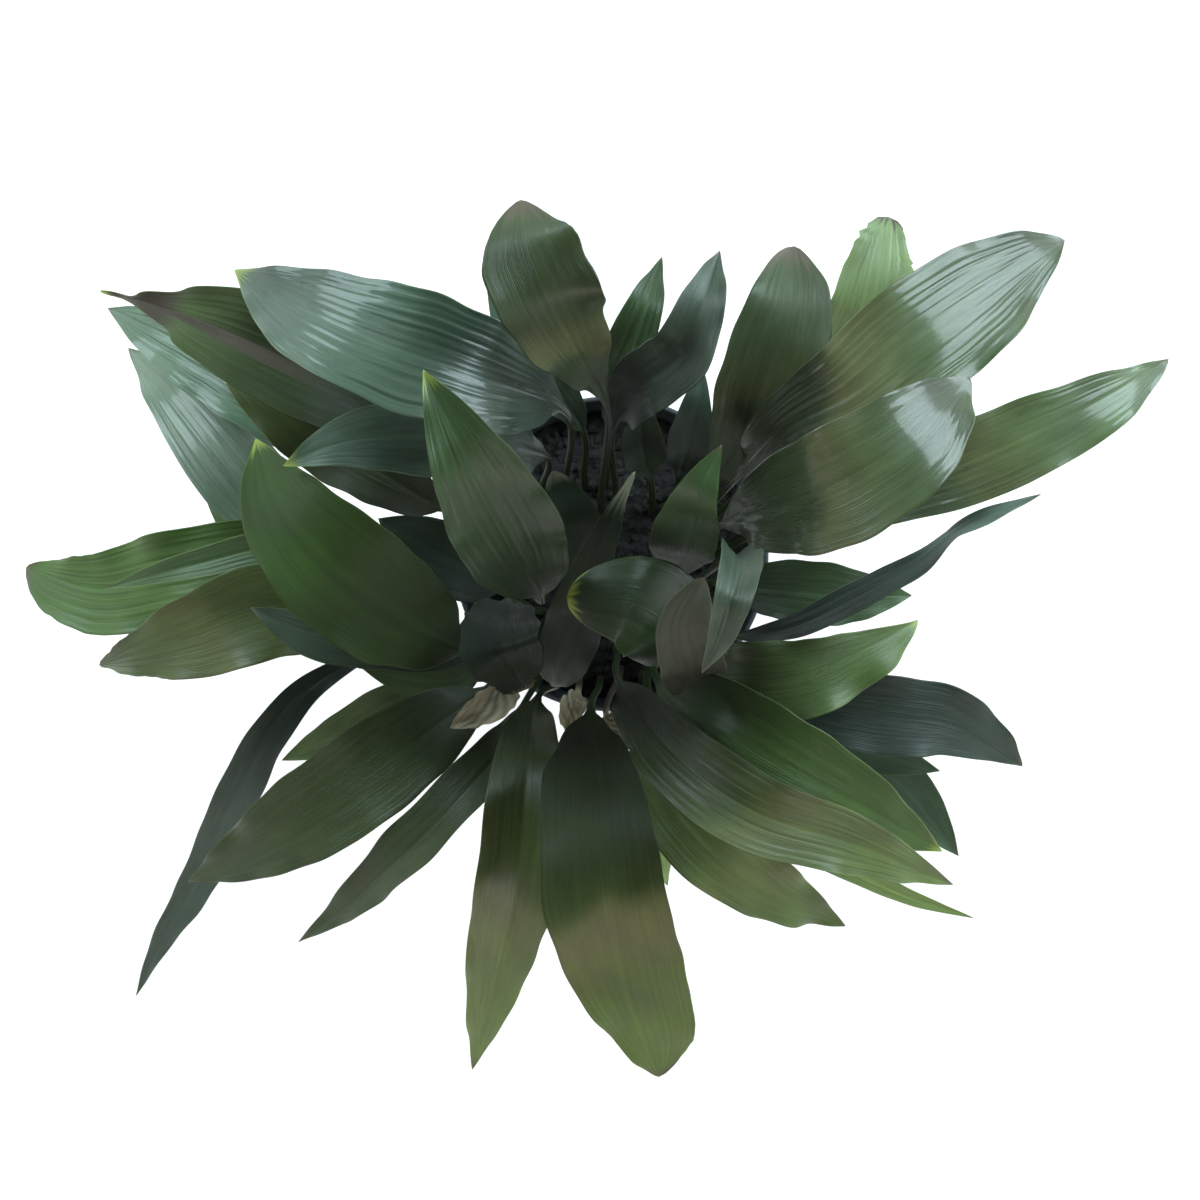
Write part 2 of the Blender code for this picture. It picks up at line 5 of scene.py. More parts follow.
import bpy
import numpy as np
from bpy.props import FloatProperty, FloatVectorProperty, IntProperty, PointerProperty
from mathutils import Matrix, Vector


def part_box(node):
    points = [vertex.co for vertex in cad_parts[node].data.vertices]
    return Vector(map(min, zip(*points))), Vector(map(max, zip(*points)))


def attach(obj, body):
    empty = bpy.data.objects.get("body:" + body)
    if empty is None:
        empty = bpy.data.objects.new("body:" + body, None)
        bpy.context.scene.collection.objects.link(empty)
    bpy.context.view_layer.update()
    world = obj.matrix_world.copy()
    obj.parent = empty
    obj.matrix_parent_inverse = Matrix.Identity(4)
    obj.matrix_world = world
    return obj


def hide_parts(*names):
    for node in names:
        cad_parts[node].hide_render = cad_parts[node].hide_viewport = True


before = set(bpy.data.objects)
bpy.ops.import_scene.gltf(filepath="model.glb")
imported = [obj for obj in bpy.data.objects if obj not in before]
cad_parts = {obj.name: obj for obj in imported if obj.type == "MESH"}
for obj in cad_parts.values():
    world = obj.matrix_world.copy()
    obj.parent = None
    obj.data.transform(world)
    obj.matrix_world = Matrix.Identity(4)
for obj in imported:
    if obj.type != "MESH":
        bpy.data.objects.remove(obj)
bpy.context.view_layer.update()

bl_info = {
    "name": "Potted Cast Iron Plant",
    "version": (1, 0, 0),
    "blender": (4, 5, 0),
    "location": "View3D > Sidebar > Plant",
    "description": "Builds the leaves, stalks, compost and pot of a cast iron plant, and its studio",
    "category": "Object",
}

POT_LOW, POT_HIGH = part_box("pot")
SOIL_LOW, SOIL_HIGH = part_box("soil")
POT_RADIUS = (POT_HIGH.x - POT_LOW.x) / 2
POT_TOP = POT_HIGH.z
SOIL_RADIUS = (SOIL_HIGH.x - SOIL_LOW.x) / 2
SOIL_TOP = SOIL_HIGH.z

ROOT_DEPTH = 0.006      # how far a stalk goes into the compost
NECK = 2                # place of the blade's neck among the points of a leaf's route
NECK_REACH = 0.020      # how far past the neck the blade's own course is read
GROOVE_DEPTH = 0.0011   # groove over the midrib
GROOVE_WIDTH = 0.0016

# A midline: points close together on it, the distance run at each of them, and the distance run
# at each of the points that it was drawn through.
Route = namedtuple("Route", "dense run marks")

# A ringed surface and its two end points, with the distance from the foot of the stalk, the share
# of the blade (below 0 on the stalk), the place across (from -1 on the left to 1 on the right, and
# back underneath), 1 on the underside, and the half-width.
Grid = namedtuple("Grid", "points ends along s v under half")

# What a leaf is like unless its own entry says otherwise, in metres and shares of 1:
# belly: where along the blade it is widest. taper: how slim its ends are (tips: the same for the
# left and the right side of its tip end). cup: depth of the channel. roll: twist in degrees at the
# stalk's knee and at each point of the rib.
# tone: its green. skin: glossy, satin or dull. pleat: height of the lengthwise folds. wave: how
# much the margins ripple. fold: a V along the midrib. ragged: how uneven the outline is. fray: how
# torn the end is. corner: where the left and right margins turn straight to the tip. tail:
# half-width of a narrow curled tail. tip_tone: how the tip fades. edge: strength of the pale
# margin line. band: a dry brown stripe along the midrib. painted_sun: painted light on its outer
# part: where that lighter part begins, how softly, and how much lighter it is. shade: painted light
# and shade along it, over its own lightness: how light its base, middle and end are.
# painted_glow_and_tip_fade: place and strength of a painted band of warm light across the blade.
PLAIN = dict(belly=0.48, taper=1.0, cup=0.15, tone="mid", skin="satin", pleat=0.5, wave=0.5, fold=0.0,
             ragged=0.6, fray=0.0, corner=(1.0, 1.0), tail=0.0, tip_tone="green", edge=0.25, band=0.0,
             painted_sun=(0.45, 0.25, 1.25), shade=(1.0, 1.0, 1.0), painted_glow_and_tip_fade=(0.5, 0.0))

# The leaves. root: where the stalk stands on the compost (x, y). rib: the midrib from the blade's
# neck over its arch to the tip (x, y, z). half: half of the blade's width.
LEAVES = {
    # north-west, upper tier first
    "leaf_nw_1": dict(root=(-0.040, 0.050), half=0.046, roll=(0, 0, -14, -20, -10),
        rib=((-0.039, 0.101, 0.560), (-0.100, 0.114, 0.665), (-0.181, 0.141, 0.675),
             (-0.281, 0.200, 0.595)),
        tone="blue", skin="glossy", pleat=1.7, tip_tone="yellow", edge=0.5, painted_sun=(0.3, 0.2, 1.25),
        shade=(1.2, 1.6, 0.85)),
    "leaf_nw_2": dict(root=(-0.090, 0.050), half=0.040, belly=0.38, taper=2.4, cup=0.35,
        rib=((-0.150, 0.090, 0.450), (-0.215, 0.125, 0.530), (-0.290, 0.160, 0.545),
             (-0.360, 0.190, 0.500), (-0.430, 0.215, 0.440)),
        tone="olive", skin="dull", pleat=1.1, wave=0.9, fold=0.25, tail=0.0042, tip_tone="yellow",
        edge=0.4, band=1.0, shade=(0.35, 0.6, 1.5)),
    "leaf_nw_3": dict(root=(-0.105, 0.035), half=0.038,
        rib=((-0.185, 0.065, 0.360), (-0.254, 0.109, 0.445), (-0.334, 0.157, 0.440),
             (-0.444, 0.213, 0.375)),
        tone="mint", skin="glossy", pleat=1.8, wave=0.7, shade=(0.75, 0.85, 0.85)),
    "leaf_nw_4": dict(root=(-0.110, 0.015), half=0.037,
        rib=((-0.192, -0.020, 0.330), (-0.249, -0.001, 0.395), (-0.301, 0.044, 0.410),
             (-0.374, 0.127, 0.385), (-0.441, 0.186, 0.325)),
        tone="grey", skin="glossy", pleat=1.7, wave=0.8, painted_sun=(0.3, 0.2, 1.7), shade=(1.3, 1.15, 1.3)),
    "leaf_nw_5": dict(root=(-0.080, 0.020), half=0.028, taper=0.7, tips=(1.0, 1.0),
        rib=((-0.145, 0.035, 0.420), (-0.190, 0.060, 0.470), (-0.245, 0.090, 0.500),
             (-0.285, 0.120, 0.500), (-0.325, 0.155, 0.480)),
        tone="warm", pleat=0.7, tip_tone="yellow", edge=0.5, shade=(0.6, 0.75, 1.2)),
    "leaf_nw_6": dict(root=(-0.065, 0.055), half=0.031,
        rib=((-0.055, 0.075, 0.460), (-0.100, 0.075, 0.570), (-0.155, 0.075, 0.610),
             (-0.200, 0.070, 0.615), (-0.245, 0.055, 0.595)),
        tone="blue", pleat=0.7, tip_tone="yellow", edge=0.5, shade=(1.0, 1.9, 1.3)),
    "leaf_nw_7": dict(root=(-0.075, -0.035), half=0.037,
        rib=((-0.055, -0.042, 0.560), (-0.075, 0.005, 0.680), (-0.100, 0.055, 0.735),
             (-0.125, 0.105, 0.740)),
        pleat=1.3, fold=0.12, tip_tone="yellow", edge=0.4, painted_sun=(0.5, 0.25, 1.3), shade=(0.7, 1.5, 2.3)),
    # west
    "leaf_w_1": dict(root=(-0.080, -0.070), half=0.046,
        rib=((-0.120, -0.085, 0.470), (-0.165, -0.055, 0.560), (-0.210, -0.015, 0.600),
             (-0.250, 0.030, 0.590), (-0.275, 0.080, 0.550)),
        tone="light", skin="dull", pleat=0.4, tip_tone="yellow", edge=0.7, painted_sun=(0.55, 0.14, 1.7),
        shade=(0.75, 0.85, 0.6)),
    "leaf_w_2": dict(root=(-0.115, -0.005), half=0.020,
        rib=((-0.180, -0.065, 0.300), (-0.280, -0.035, 0.335), (-0.335, 0.015, 0.345),
             (-0.370, 0.055, 0.335)),
        tone="light", pleat=0.4),
    "leaf_w_3": dict(root=(-0.105, -0.015), half=0.040, tips=(0.45, 0.8),
        rib=((-0.155, -0.045, 0.340), (-0.225, -0.030, 0.410), (-0.285, -0.015, 0.440),
             (-0.365, -0.025, 0.440), (-0.445, -0.035, 0.400), (-0.525, -0.015, 0.350)),
        tone="light", pleat=0.9, wave=1.1, ragged=0.9, fray=0.5, corner=(0.94, 0.98), edge=0.4,
        painted_sun=(0.5, 0.2, 1.5), shade=(0.9, 1.15, 1.15)),
    "leaf_w_4": dict(root=(-0.090, -0.030), half=0.013,
        rib=((-0.145, -0.035, 0.430), (-0.250, 0.000, 0.505), (-0.330, -0.015, 0.510),
             (-0.420, -0.035, 0.460)),
        pleat=0.9, fold=0.2, edge=0.9, shade=(1.0, 1.1, 1.2)),
    "leaf_w_5": dict(root=(-0.110, -0.030), half=0.040,
        rib=((-0.145, -0.075, 0.390), (-0.200, -0.050, 0.455), (-0.270, -0.050, 0.480),
             (-0.345, -0.075, 0.470), (-0.440, -0.100, 0.410)),
        tone="warm", pleat=0.6, wave=0.8, fray=0.8, corner=(0.97, 0.94), tip_tone="pale",
        shade=(1.5, 1.1, 0.9), painted_glow_and_tip_fade=(0.62, 0.35)),
    "leaf_w_6": dict(root=(-0.100, -0.050), half=0.025,
        rib=((-0.120, -0.090, 0.430), (-0.185, -0.075, 0.500), (-0.240, -0.070, 0.515),
             (-0.290, -0.050, 0.500)),
        tone="deep", skin="dull", pleat=0.4, painted_sun=(0.5, 0.3, 1.2), shade=(2.25, 2.15, 1.65)),
    "leaf_w_7": dict(root=(-0.060, -0.015), half=0.030,
        rib=((-0.085, -0.028, 0.440), (-0.131, -0.012, 0.482), (-0.190, 0.022, 0.487)),
        tone="deep", skin="dull", pleat=0.4, shade=(1.6, 1.6, 1.6)),
    # south-west
    "leaf_sw_1": dict(root=(-0.105, -0.065), half=0.020, belly=0.45,
        rib=((-0.210, -0.090, 0.340), (-0.265, -0.120, 0.370), (-0.305, -0.165, 0.360),
             (-0.345, -0.230, 0.320), (-0.395, -0.315, 0.260), (-0.445, -0.385, 0.210),
             (-0.480, -0.445, 0.170)),
        tone="slate", pleat=0.9, wave=1.0, ragged=0.9, painted_sun=(0.35, 0.1, 1.5), shade=(1.0, 1.4, 1.5)),
    "leaf_sw_2": dict(root=(-0.080, -0.095), half=0.041, taper=0.7, tips=(1.0, 1.0),
        rib=((-0.115, -0.125, 0.380), (-0.170, -0.165, 0.430), (-0.240, -0.215, 0.430),
             (-0.310, -0.260, 0.390), (-0.385, -0.300, 0.330)),
        tone="olive", pleat=0.4, wave=0.6, painted_sun=(0.5, 0.3, 1.25), shade=(0.9, 0.7, 0.65)),
    "leaf_sw_3": dict(root=(-0.095, -0.080), half=0.020,
        rib=((-0.145, -0.120, 0.310), (-0.195, -0.135, 0.325), (-0.245, -0.165, 0.310),
             (-0.310, -0.195, 0.280)),
        tone="olive", pleat=0.4, shade=(1.7, 1.4, 1.4)),
    "leaf_sw_4": dict(root=(-0.060, -0.105), half=0.024, taper=0.8, tips=(1.1, 1.1),
        roll=(0, 0, -20, -30, -30, -20, 0),
        rib=((-0.080, -0.140, 0.380), (-0.095, -0.170, 0.430), (-0.130, -0.210, 0.455),
             (-0.175, -0.255, 0.440), (-0.225, -0.305, 0.390), (-0.285, -0.355, 0.330)),
        tone="olive", wave=0.7, fold=0.2, shade=(0.7, 0.75, 0.75)),
    "leaf_sw_5": dict(root=(-0.088, -0.062), half=0.018,
        rib=((-0.115, -0.105, 0.340), (-0.155, -0.115, 0.375), (-0.220, -0.105, 0.370)),
        tone="olive", skin="dull", pleat=0.4, shade=(0.95, 1.15, 1.0)),
    # south
    "leaf_s_1": dict(root=(-0.045, -0.120), half=0.033, taper=0.75, tips=(1.0, 1.0),
        rib=((-0.065, -0.130, 0.400), (-0.070, -0.180, 0.480), (-0.075, -0.255, 0.490),
             (-0.095, -0.345, 0.440), (-0.125, -0.465, 0.350)),
        tone="warm", pleat=0.7, wave=0.6, fold=0.2, painted_sun=(0.52, 0.08, 1.5), shade=(0.85, 1.3, 1.9),
        painted_glow_and_tip_fade=(0.5, 0.5)),
    "leaf_s_2": dict(root=(-0.010, -0.120), half=0.049, belly=0.52, taper=0.65, tips=(0.38, 1.0),
        rib=((-0.018, -0.138, 0.440), (-0.010, -0.205, 0.545), (-0.005, -0.270, 0.560),
             (0.010, -0.350, 0.510), (0.040, -0.450, 0.420)),
        tone="warm", skin="dull", wave=0.8, ragged=0.7, fray=0.25, corner=(0.9, 0.82),
        painted_sun=(0.45, 0.06, 1.55), shade=(0.35, 0.7, 1.6), painted_glow_and_tip_fade=(0.5, 0.8)),
    "leaf_s_3": dict(root=(0.015, -0.125), half=0.018,
        rib=((0.020, -0.175, 0.330), (0.030, -0.235, 0.370), (0.050, -0.300, 0.350)),
        tone="pale", skin="dull", pleat=0.4, painted_sun=(0.3, 0.2, 0.8), shade=(4.35, 2.4, 1.8)),
    "leaf_s_4": dict(root=(-0.065, -0.055), half=0.031, taper=0.7,
        rib=((-0.085, -0.045, 0.500), (-0.085, -0.080, 0.560), (-0.070, -0.115, 0.520)),
        tone="deep", skin="dull", pleat=0.4, fold=0.15, ragged=1.2, fray=1.5, corner=(0.9, 0.85),
        shade=(1.2, 1.15, 1.4)),
    # south-east
    "leaf_se_1": dict(root=(0.030, -0.115), half=0.034, taper=0.8, tips=(1.0, 1.0),
        rib=((0.025, -0.170, 0.380), (0.045, -0.205, 0.450), (0.080, -0.245, 0.465),
             (0.130, -0.285, 0.440), (0.205, -0.330, 0.380)),
        tone="warm", wave=0.8, painted_sun=(0.45, 0.12, 1.55), shade=(2.2, 1.8, 1.0), painted_glow_and_tip_fade=(0.55, 0.35)),
    "leaf_se_2": dict(root=(0.005, -0.090), half=0.029, taper=0.8, tips=(1.0, 1.0),
        rib=((0.006, -0.112, 0.460), (0.050, -0.165, 0.575), (0.105, -0.200, 0.610),
             (0.175, -0.225, 0.590), (0.270, -0.270, 0.510)),
        tone="warm", pleat=1.0, wave=1.0, fold=0.15, edge=0.4, painted_sun=(0.4, 0.15, 1.45),
        shade=(0.45, 1.05, 1.5), painted_glow_and_tip_fade=(0.5, 0.3)),
    "leaf_se_3": dict(root=(0.045, -0.115), half=0.010,
        rib=((0.050, -0.195, 0.340), (0.115, -0.235, 0.390), (0.195, -0.270, 0.420),
             (0.255, -0.300, 0.400), (0.320, -0.325, 0.370)),
        tone="warm", pleat=0.4, shade=(0.95, 1.65, 2.25)),
    "leaf_se_4": dict(root=(0.040, -0.090), half=0.040, taper=0.7, tips=(1.0, 1.0),
        rib=((0.040, -0.115, 0.450), (0.085, -0.145, 0.530), (0.135, -0.175, 0.545),
             (0.200, -0.210, 0.520), (0.270, -0.250, 0.470)),
        tone="light", wave=0.3, tip_tone="yellow", edge=1.0, painted_sun=(0.6, 0.3, 1.3), shade=(1.5, 1.4, 0.9)),
    "leaf_se_5": dict(root=(0.070, -0.095), half=0.026,
        rib=((0.155, -0.135, 0.310), (0.230, -0.185, 0.340), (0.275, -0.225, 0.335),
             (0.320, -0.280, 0.310)),
        tone="deep", skin="dull", pleat=0.4, shade=(1.95, 1.85, 2.35)),
    "leaf_se_6": dict(root=(0.085, -0.085), half=0.020,
        rib=((0.130, -0.125, 0.350), (0.180, -0.160, 0.380), (0.235, -0.180, 0.385),
             (0.290, -0.195, 0.370)),
        tone="deep", skin="dull", pleat=0.4, shade=(1.8, 2.45, 2.3)),
    "leaf_se_7": dict(root=(0.065, -0.070), half=0.034, tips=(0.8, 1.2),
        rib=((0.110, -0.110, 0.380), (0.165, -0.130, 0.430), (0.225, -0.140, 0.440),
             (0.285, -0.150, 0.430), (0.360, -0.190, 0.380)),
        tone="slate", pleat=0.6, wave=0.8, painted_sun=(0.5, 0.2, 1.25), shade=(1.2, 1.0, 1.0)),
    # east
    "leaf_e_1": dict(root=(0.057, -0.062), half=0.033, taper=0.75, tips=(1.3, 0.75),
        rib=((0.075, -0.105, 0.430), (0.105, -0.110, 0.495), (0.150, -0.105, 0.510),
             (0.200, -0.085, 0.500), (0.250, -0.060, 0.470)),
        tone="bright", pleat=0.6, wave=0.9, tip_tone="yellow", edge=0.9, painted_sun=(0.5, 0.2, 1.7),
        shade=(1.25, 1.2, 0.95)),
    "leaf_e_2": dict(root=(0.090, -0.045), half=0.014, roll=(0, 0, 20, 30, 50, 70, 40, 20),
        rib=((0.105, -0.075, 0.390), (0.155, -0.065, 0.440), (0.205, -0.040, 0.455),
             (0.250, -0.015, 0.465), (0.280, 0.010, 0.465), (0.310, 0.025, 0.460), (0.360, 0.045, 0.440)),
        tone="slate", pleat=0.6, wave=0.6, edge=0.5, painted_sun=(0.7, 0.1, 2.2), shade=(1.2, 2.0, 2.0)),
    "leaf_e_3": dict(root=(0.085, -0.025), half=0.028,
        rib=((0.095, -0.030, 0.360), (0.145, -0.035, 0.390), (0.200, -0.040, 0.390),
             (0.265, -0.040, 0.370)),
        pleat=0.8, wave=0.6, shade=(0.9, 1.6, 1.7)),
    # north-east
    "leaf_ne_1": dict(root=(0.090, -0.005), half=0.034, tips=(1.1, 0.8),
        rib=((0.140, 0.020, 0.370), (0.210, 0.040, 0.430), (0.270, 0.060, 0.470), (0.330, 0.085, 0.485),
             (0.400, 0.120, 0.475), (0.470, 0.160, 0.430)),
        tone="sage", skin="glossy", pleat=0.9, wave=0.7, painted_sun=(0.6, 0.3, 1.5), shade=(1.35, 1.3, 0.9),
        painted_glow_and_tip_fade=(0.45, 0.4)),
    "leaf_ne_2": dict(root=(0.070, 0.000), half=0.042, belly=0.52, taper=0.8,
        rib=((0.085, 0.015, 0.530), (0.123, 0.024, 0.615), (0.161, 0.038, 0.665), (0.208, 0.069, 0.660),
             (0.259, 0.118, 0.612)),
        tone="sage", skin="glossy", pleat=0.8, wave=0.6, painted_sun=(0.5, 0.12, 1.6), shade=(1.1, 1.35, 0.6),
        painted_glow_and_tip_fade=(0.46, 0.35)),
    "leaf_ne_3": dict(root=(0.070, 0.020), half=0.045, belly=0.52, tips=(0.75, 1.0),
        rib=((0.100, 0.055, 0.490), (0.131, 0.086, 0.575), (0.172, 0.106, 0.609), (0.218, 0.142, 0.606),
             (0.284, 0.188, 0.578), (0.354, 0.238, 0.525)),
        tone="sage", skin="glossy", pleat=1.5, wave=0.7, painted_sun=(0.36, 0.08, 1.5), shade=(0.85, 1.0, 0.5),
        painted_glow_and_tip_fade=(0.36, 0.55)),
    "leaf_ne_4": dict(root=(0.085, 0.020), half=0.035, taper=0.45,
        rib=((0.130, 0.070, 0.390), (0.180, 0.130, 0.460), (0.203, 0.180, 0.490), (0.212, 0.220, 0.500),
             (0.222, 0.265, 0.490)),
        tone="pale", pleat=1.3, wave=0.8, ragged=1.0, fray=1.2, corner=(0.84, 0.87), edge=0.7,
        painted_sun=(0.2, 0.1, 1.0), shade=(2.1, 1.0, 0.8)),
    "leaf_ne_5": dict(root=(0.050, 0.045), half=0.038, tips=(0.6, 0.7),
        rib=((0.085, 0.055, 0.440), (0.105, 0.085, 0.520), (0.120, 0.130, 0.555), (0.135, 0.180, 0.560),
             (0.140, 0.230, 0.540)),
        tone="sage", pleat=0.8, tip_tone="brown", painted_sun=(0.45, 0.1, 1.3), shade=(1.7, 1.5, 0.85),
        painted_glow_and_tip_fade=(0.5, 0.25)),
    # north
    "leaf_n_1": dict(root=(0.005, 0.045), half=0.025, cup=0.3,
        rib=((0.000, 0.095, 0.460), (0.020, 0.120, 0.540), (0.050, 0.140, 0.585), (0.065, 0.175, 0.595),
             (0.080, 0.220, 0.570)),
        tone="grey", pleat=0.8, wave=0.8, fold=0.2, painted_sun=(0.4, 0.3, 1.6), shade=(0.5, 1.1, 1.0)),
    "leaf_n_2": dict(root=(-0.005, 0.065), half=0.020,
        rib=((0.000, 0.130, 0.380), (0.010, 0.155, 0.470), (0.025, 0.190, 0.500), (0.040, 0.235, 0.480)),
        pleat=1.1, wave=0.6, shade=(3.0, 2.5, 1.0)),
    "leaf_n_3": dict(root=(-0.010, 0.040), half=0.036, belly=0.6, tips=(0.6, 0.65),
        rib=((-0.005, 0.105, 0.540), (-0.025, 0.130, 0.630), (-0.045, 0.160, 0.690),
             (-0.060, 0.195, 0.700), (-0.065, 0.230, 0.680)),
        tone="sage", pleat=0.6, wave=0.7, ragged=0.8, fray=0.2, corner=(0.8, 0.86), tip_tone="brown",
        painted_sun=(0.3, 0.1, 1.2), shade=(1.2, 1.3, 1.0), painted_glow_and_tip_fade=(0.42, 0.45)),
    "leaf_n_4": dict(root=(-0.025, 0.065), half=0.017,
        rib=((-0.025, 0.100, 0.420), (-0.050, 0.130, 0.500), (-0.080, 0.165, 0.530),
             (-0.100, 0.205, 0.520)),
        tone="deep", skin="dull", shade=(5.4, 5.2, 3.0)),
    "leaf_n_5": dict(root=(0.040, 0.040), half=0.019,
        rib=((0.035, 0.065, 0.350), (0.025, 0.090, 0.430), (0.025, 0.115, 0.460), (0.035, 0.140, 0.460)),
        tone="deep", skin="dull", fold=0.4, edge=0.5, shade=(5.3, 2.85, 5.05)),
    "leaf_n_6": dict(root=(0.060, 0.055), half=0.018,
        rib=((0.060, 0.065, 0.360), (0.065, 0.090, 0.420), (0.070, 0.120, 0.450), (0.075, 0.150, 0.450)),
        tone="slate", shade=(2.6, 3.4, 4.35)),
    # centre, arching over the crown
    "leaf_c_1": dict(root=(0.035, -0.010), half=0.025,
        rib=((0.050, -0.022, 0.500), (0.052, 0.004, 0.600), (0.060, 0.036, 0.650), (0.075, 0.065, 0.655)),
        pleat=0.4, edge=0.5, shade=(1.0, 1.8, 2.8)),
    "leaf_c_2": dict(root=(0.020, -0.055), half=0.040, taper=0.5, cup=-0.28,
        rib=((0.052, -0.088, 0.480), (0.038, -0.060, 0.570), (0.010, -0.045, 0.620),
             (-0.035, -0.042, 0.610)),
        pleat=0.4, wave=0.2, ragged=0.2, tip_tone="yellow", edge=0.7, painted_sun=(0.5, 0.2, 1.25),
        shade=(1.3, 1.8, 1.0)),
    "leaf_c_3": dict(root=(0.075, -0.050), half=0.026, taper=0.65,
        rib=((0.064, -0.106, 0.530), (0.057, -0.088, 0.610), (0.050, -0.062, 0.645),
             (0.062, -0.028, 0.650)),
        tone="tip_grey", skin="dull", wave=0.8, ragged=0.8, edge=1.0, shade=(0.45, 0.62, 0.95)),
    "leaf_c_4": dict(root=(0.065, -0.035), half=0.015,
        rib=((0.087, -0.012, 0.560), (0.086, -0.014, 0.680), (0.077, -0.042, 0.720),
             (0.070, -0.070, 0.700), (0.060, -0.095, 0.665)),
        tone="grey", fold=0.5, edge=0.8, shade=(1.6, 2.2, 2.0)),
    "leaf_c_5": dict(root=(-0.040, -0.095), half=0.024, belly=0.35,
        rib=((-0.051, -0.118, 0.380), (-0.035, -0.075, 0.470), (-0.020, -0.030, 0.550),
             (0.000, 0.020, 0.600), (0.015, 0.050, 0.610)),
        tone="deep", skin="dull", fray=0.8, corner=(0.95, 0.95), tip_tone="grey", shade=(2.9, 2.25, 2.0)),
    "leaf_c_6": dict(root=(-0.020, -0.020), half=0.025, taper=0.7,
        rib=((-0.025, -0.010, 0.360), (-0.035, 0.025, 0.420), (-0.050, 0.065, 0.430)),
        tone="deep", skin="dull", fold=0.2, ragged=0.8, tip_tone="grey", shade=(2.75, 2.4, 2.3)),
    "leaf_c_7": dict(root=(0.035, -0.100), half=0.012,
        rib=((0.035, -0.130, 0.330), (0.050, -0.155, 0.360), (0.070, -0.185, 0.350)),
        tone="olive", pleat=0.4, shade=(2.2, 1.5, 1.1)),
}

# The withered sheaths are small curled blades.
WITHERED = dict(cup=0.5, pleat=1.4, wave=1.8, fold=0.3, ragged=2.2, fray=1.5)
SHEATHS = {
    "dry_sheath_1": dict(root=(-0.070, -0.095), half=0.014,
        rib=((-0.085, -0.115, 0.420), (-0.100, -0.130, 0.460), (-0.135, -0.150, 0.455))),
    "dry_sheath_2": dict(root=(-0.030, -0.105), half=0.011,
        rib=((-0.030, -0.125, 0.370), (-0.035, -0.140, 0.390), (-0.040, -0.160, 0.380))),
    "dry_sheath_3": dict(root=(0.010, -0.110), half=0.012,
        rib=((-0.005, -0.145, 0.370), (0.005, -0.160, 0.385), (0.015, -0.175, 0.380))),
}

# Bare old stalks: root (x, y) and top (x, y, z).
OLD_STALKS = {
    "old_stalk_1": ((-0.095, 0.020), (-0.150, -0.010, 0.370)),
    "old_stalk_2": ((-0.088, 0.036), (-0.125, 0.050, 0.350)),
}

# How a tip fades: the colour that it turns to, and where that begins and is complete.
TIPS = {
    "green": ("tip_brown", 0.975, 0.998),
    "yellow": ("tip_yellow", 0.945, 1.0),
    "brown": ("tip_brown", 0.90, 0.99),
    "grey": ("tip_grey", 0.88, 0.98),
    "pale": ("tip_grey", 0.80, 1.0),
}
# A skin's factor on the leaves' roughness, its wax coat, the coat's roughness, its specular level.
SKINS = {
    "glossy": (0.92, 0.42, 0.12, 0.36),
    "satin": (1.15, 0.12, 0.26, 0.34),
    "dull": (1.60, 0.0, 0.30, 0.22),
}


# ---------------------------------------------------------------- settings
def colour(name, description, value):
    return FloatVectorProperty(
        name=name, description=description, subtype="COLOR", size=3, min=0.0, max=1.0, default=value)


def length(name, description, value):
    return FloatProperty(name=name, description=description, unit="LENGTH", subtype="DISTANCE", default=value)


def portion(name, description, value):
    return FloatProperty(name=name, description=description, min=0.0, max=1.0, default=value)


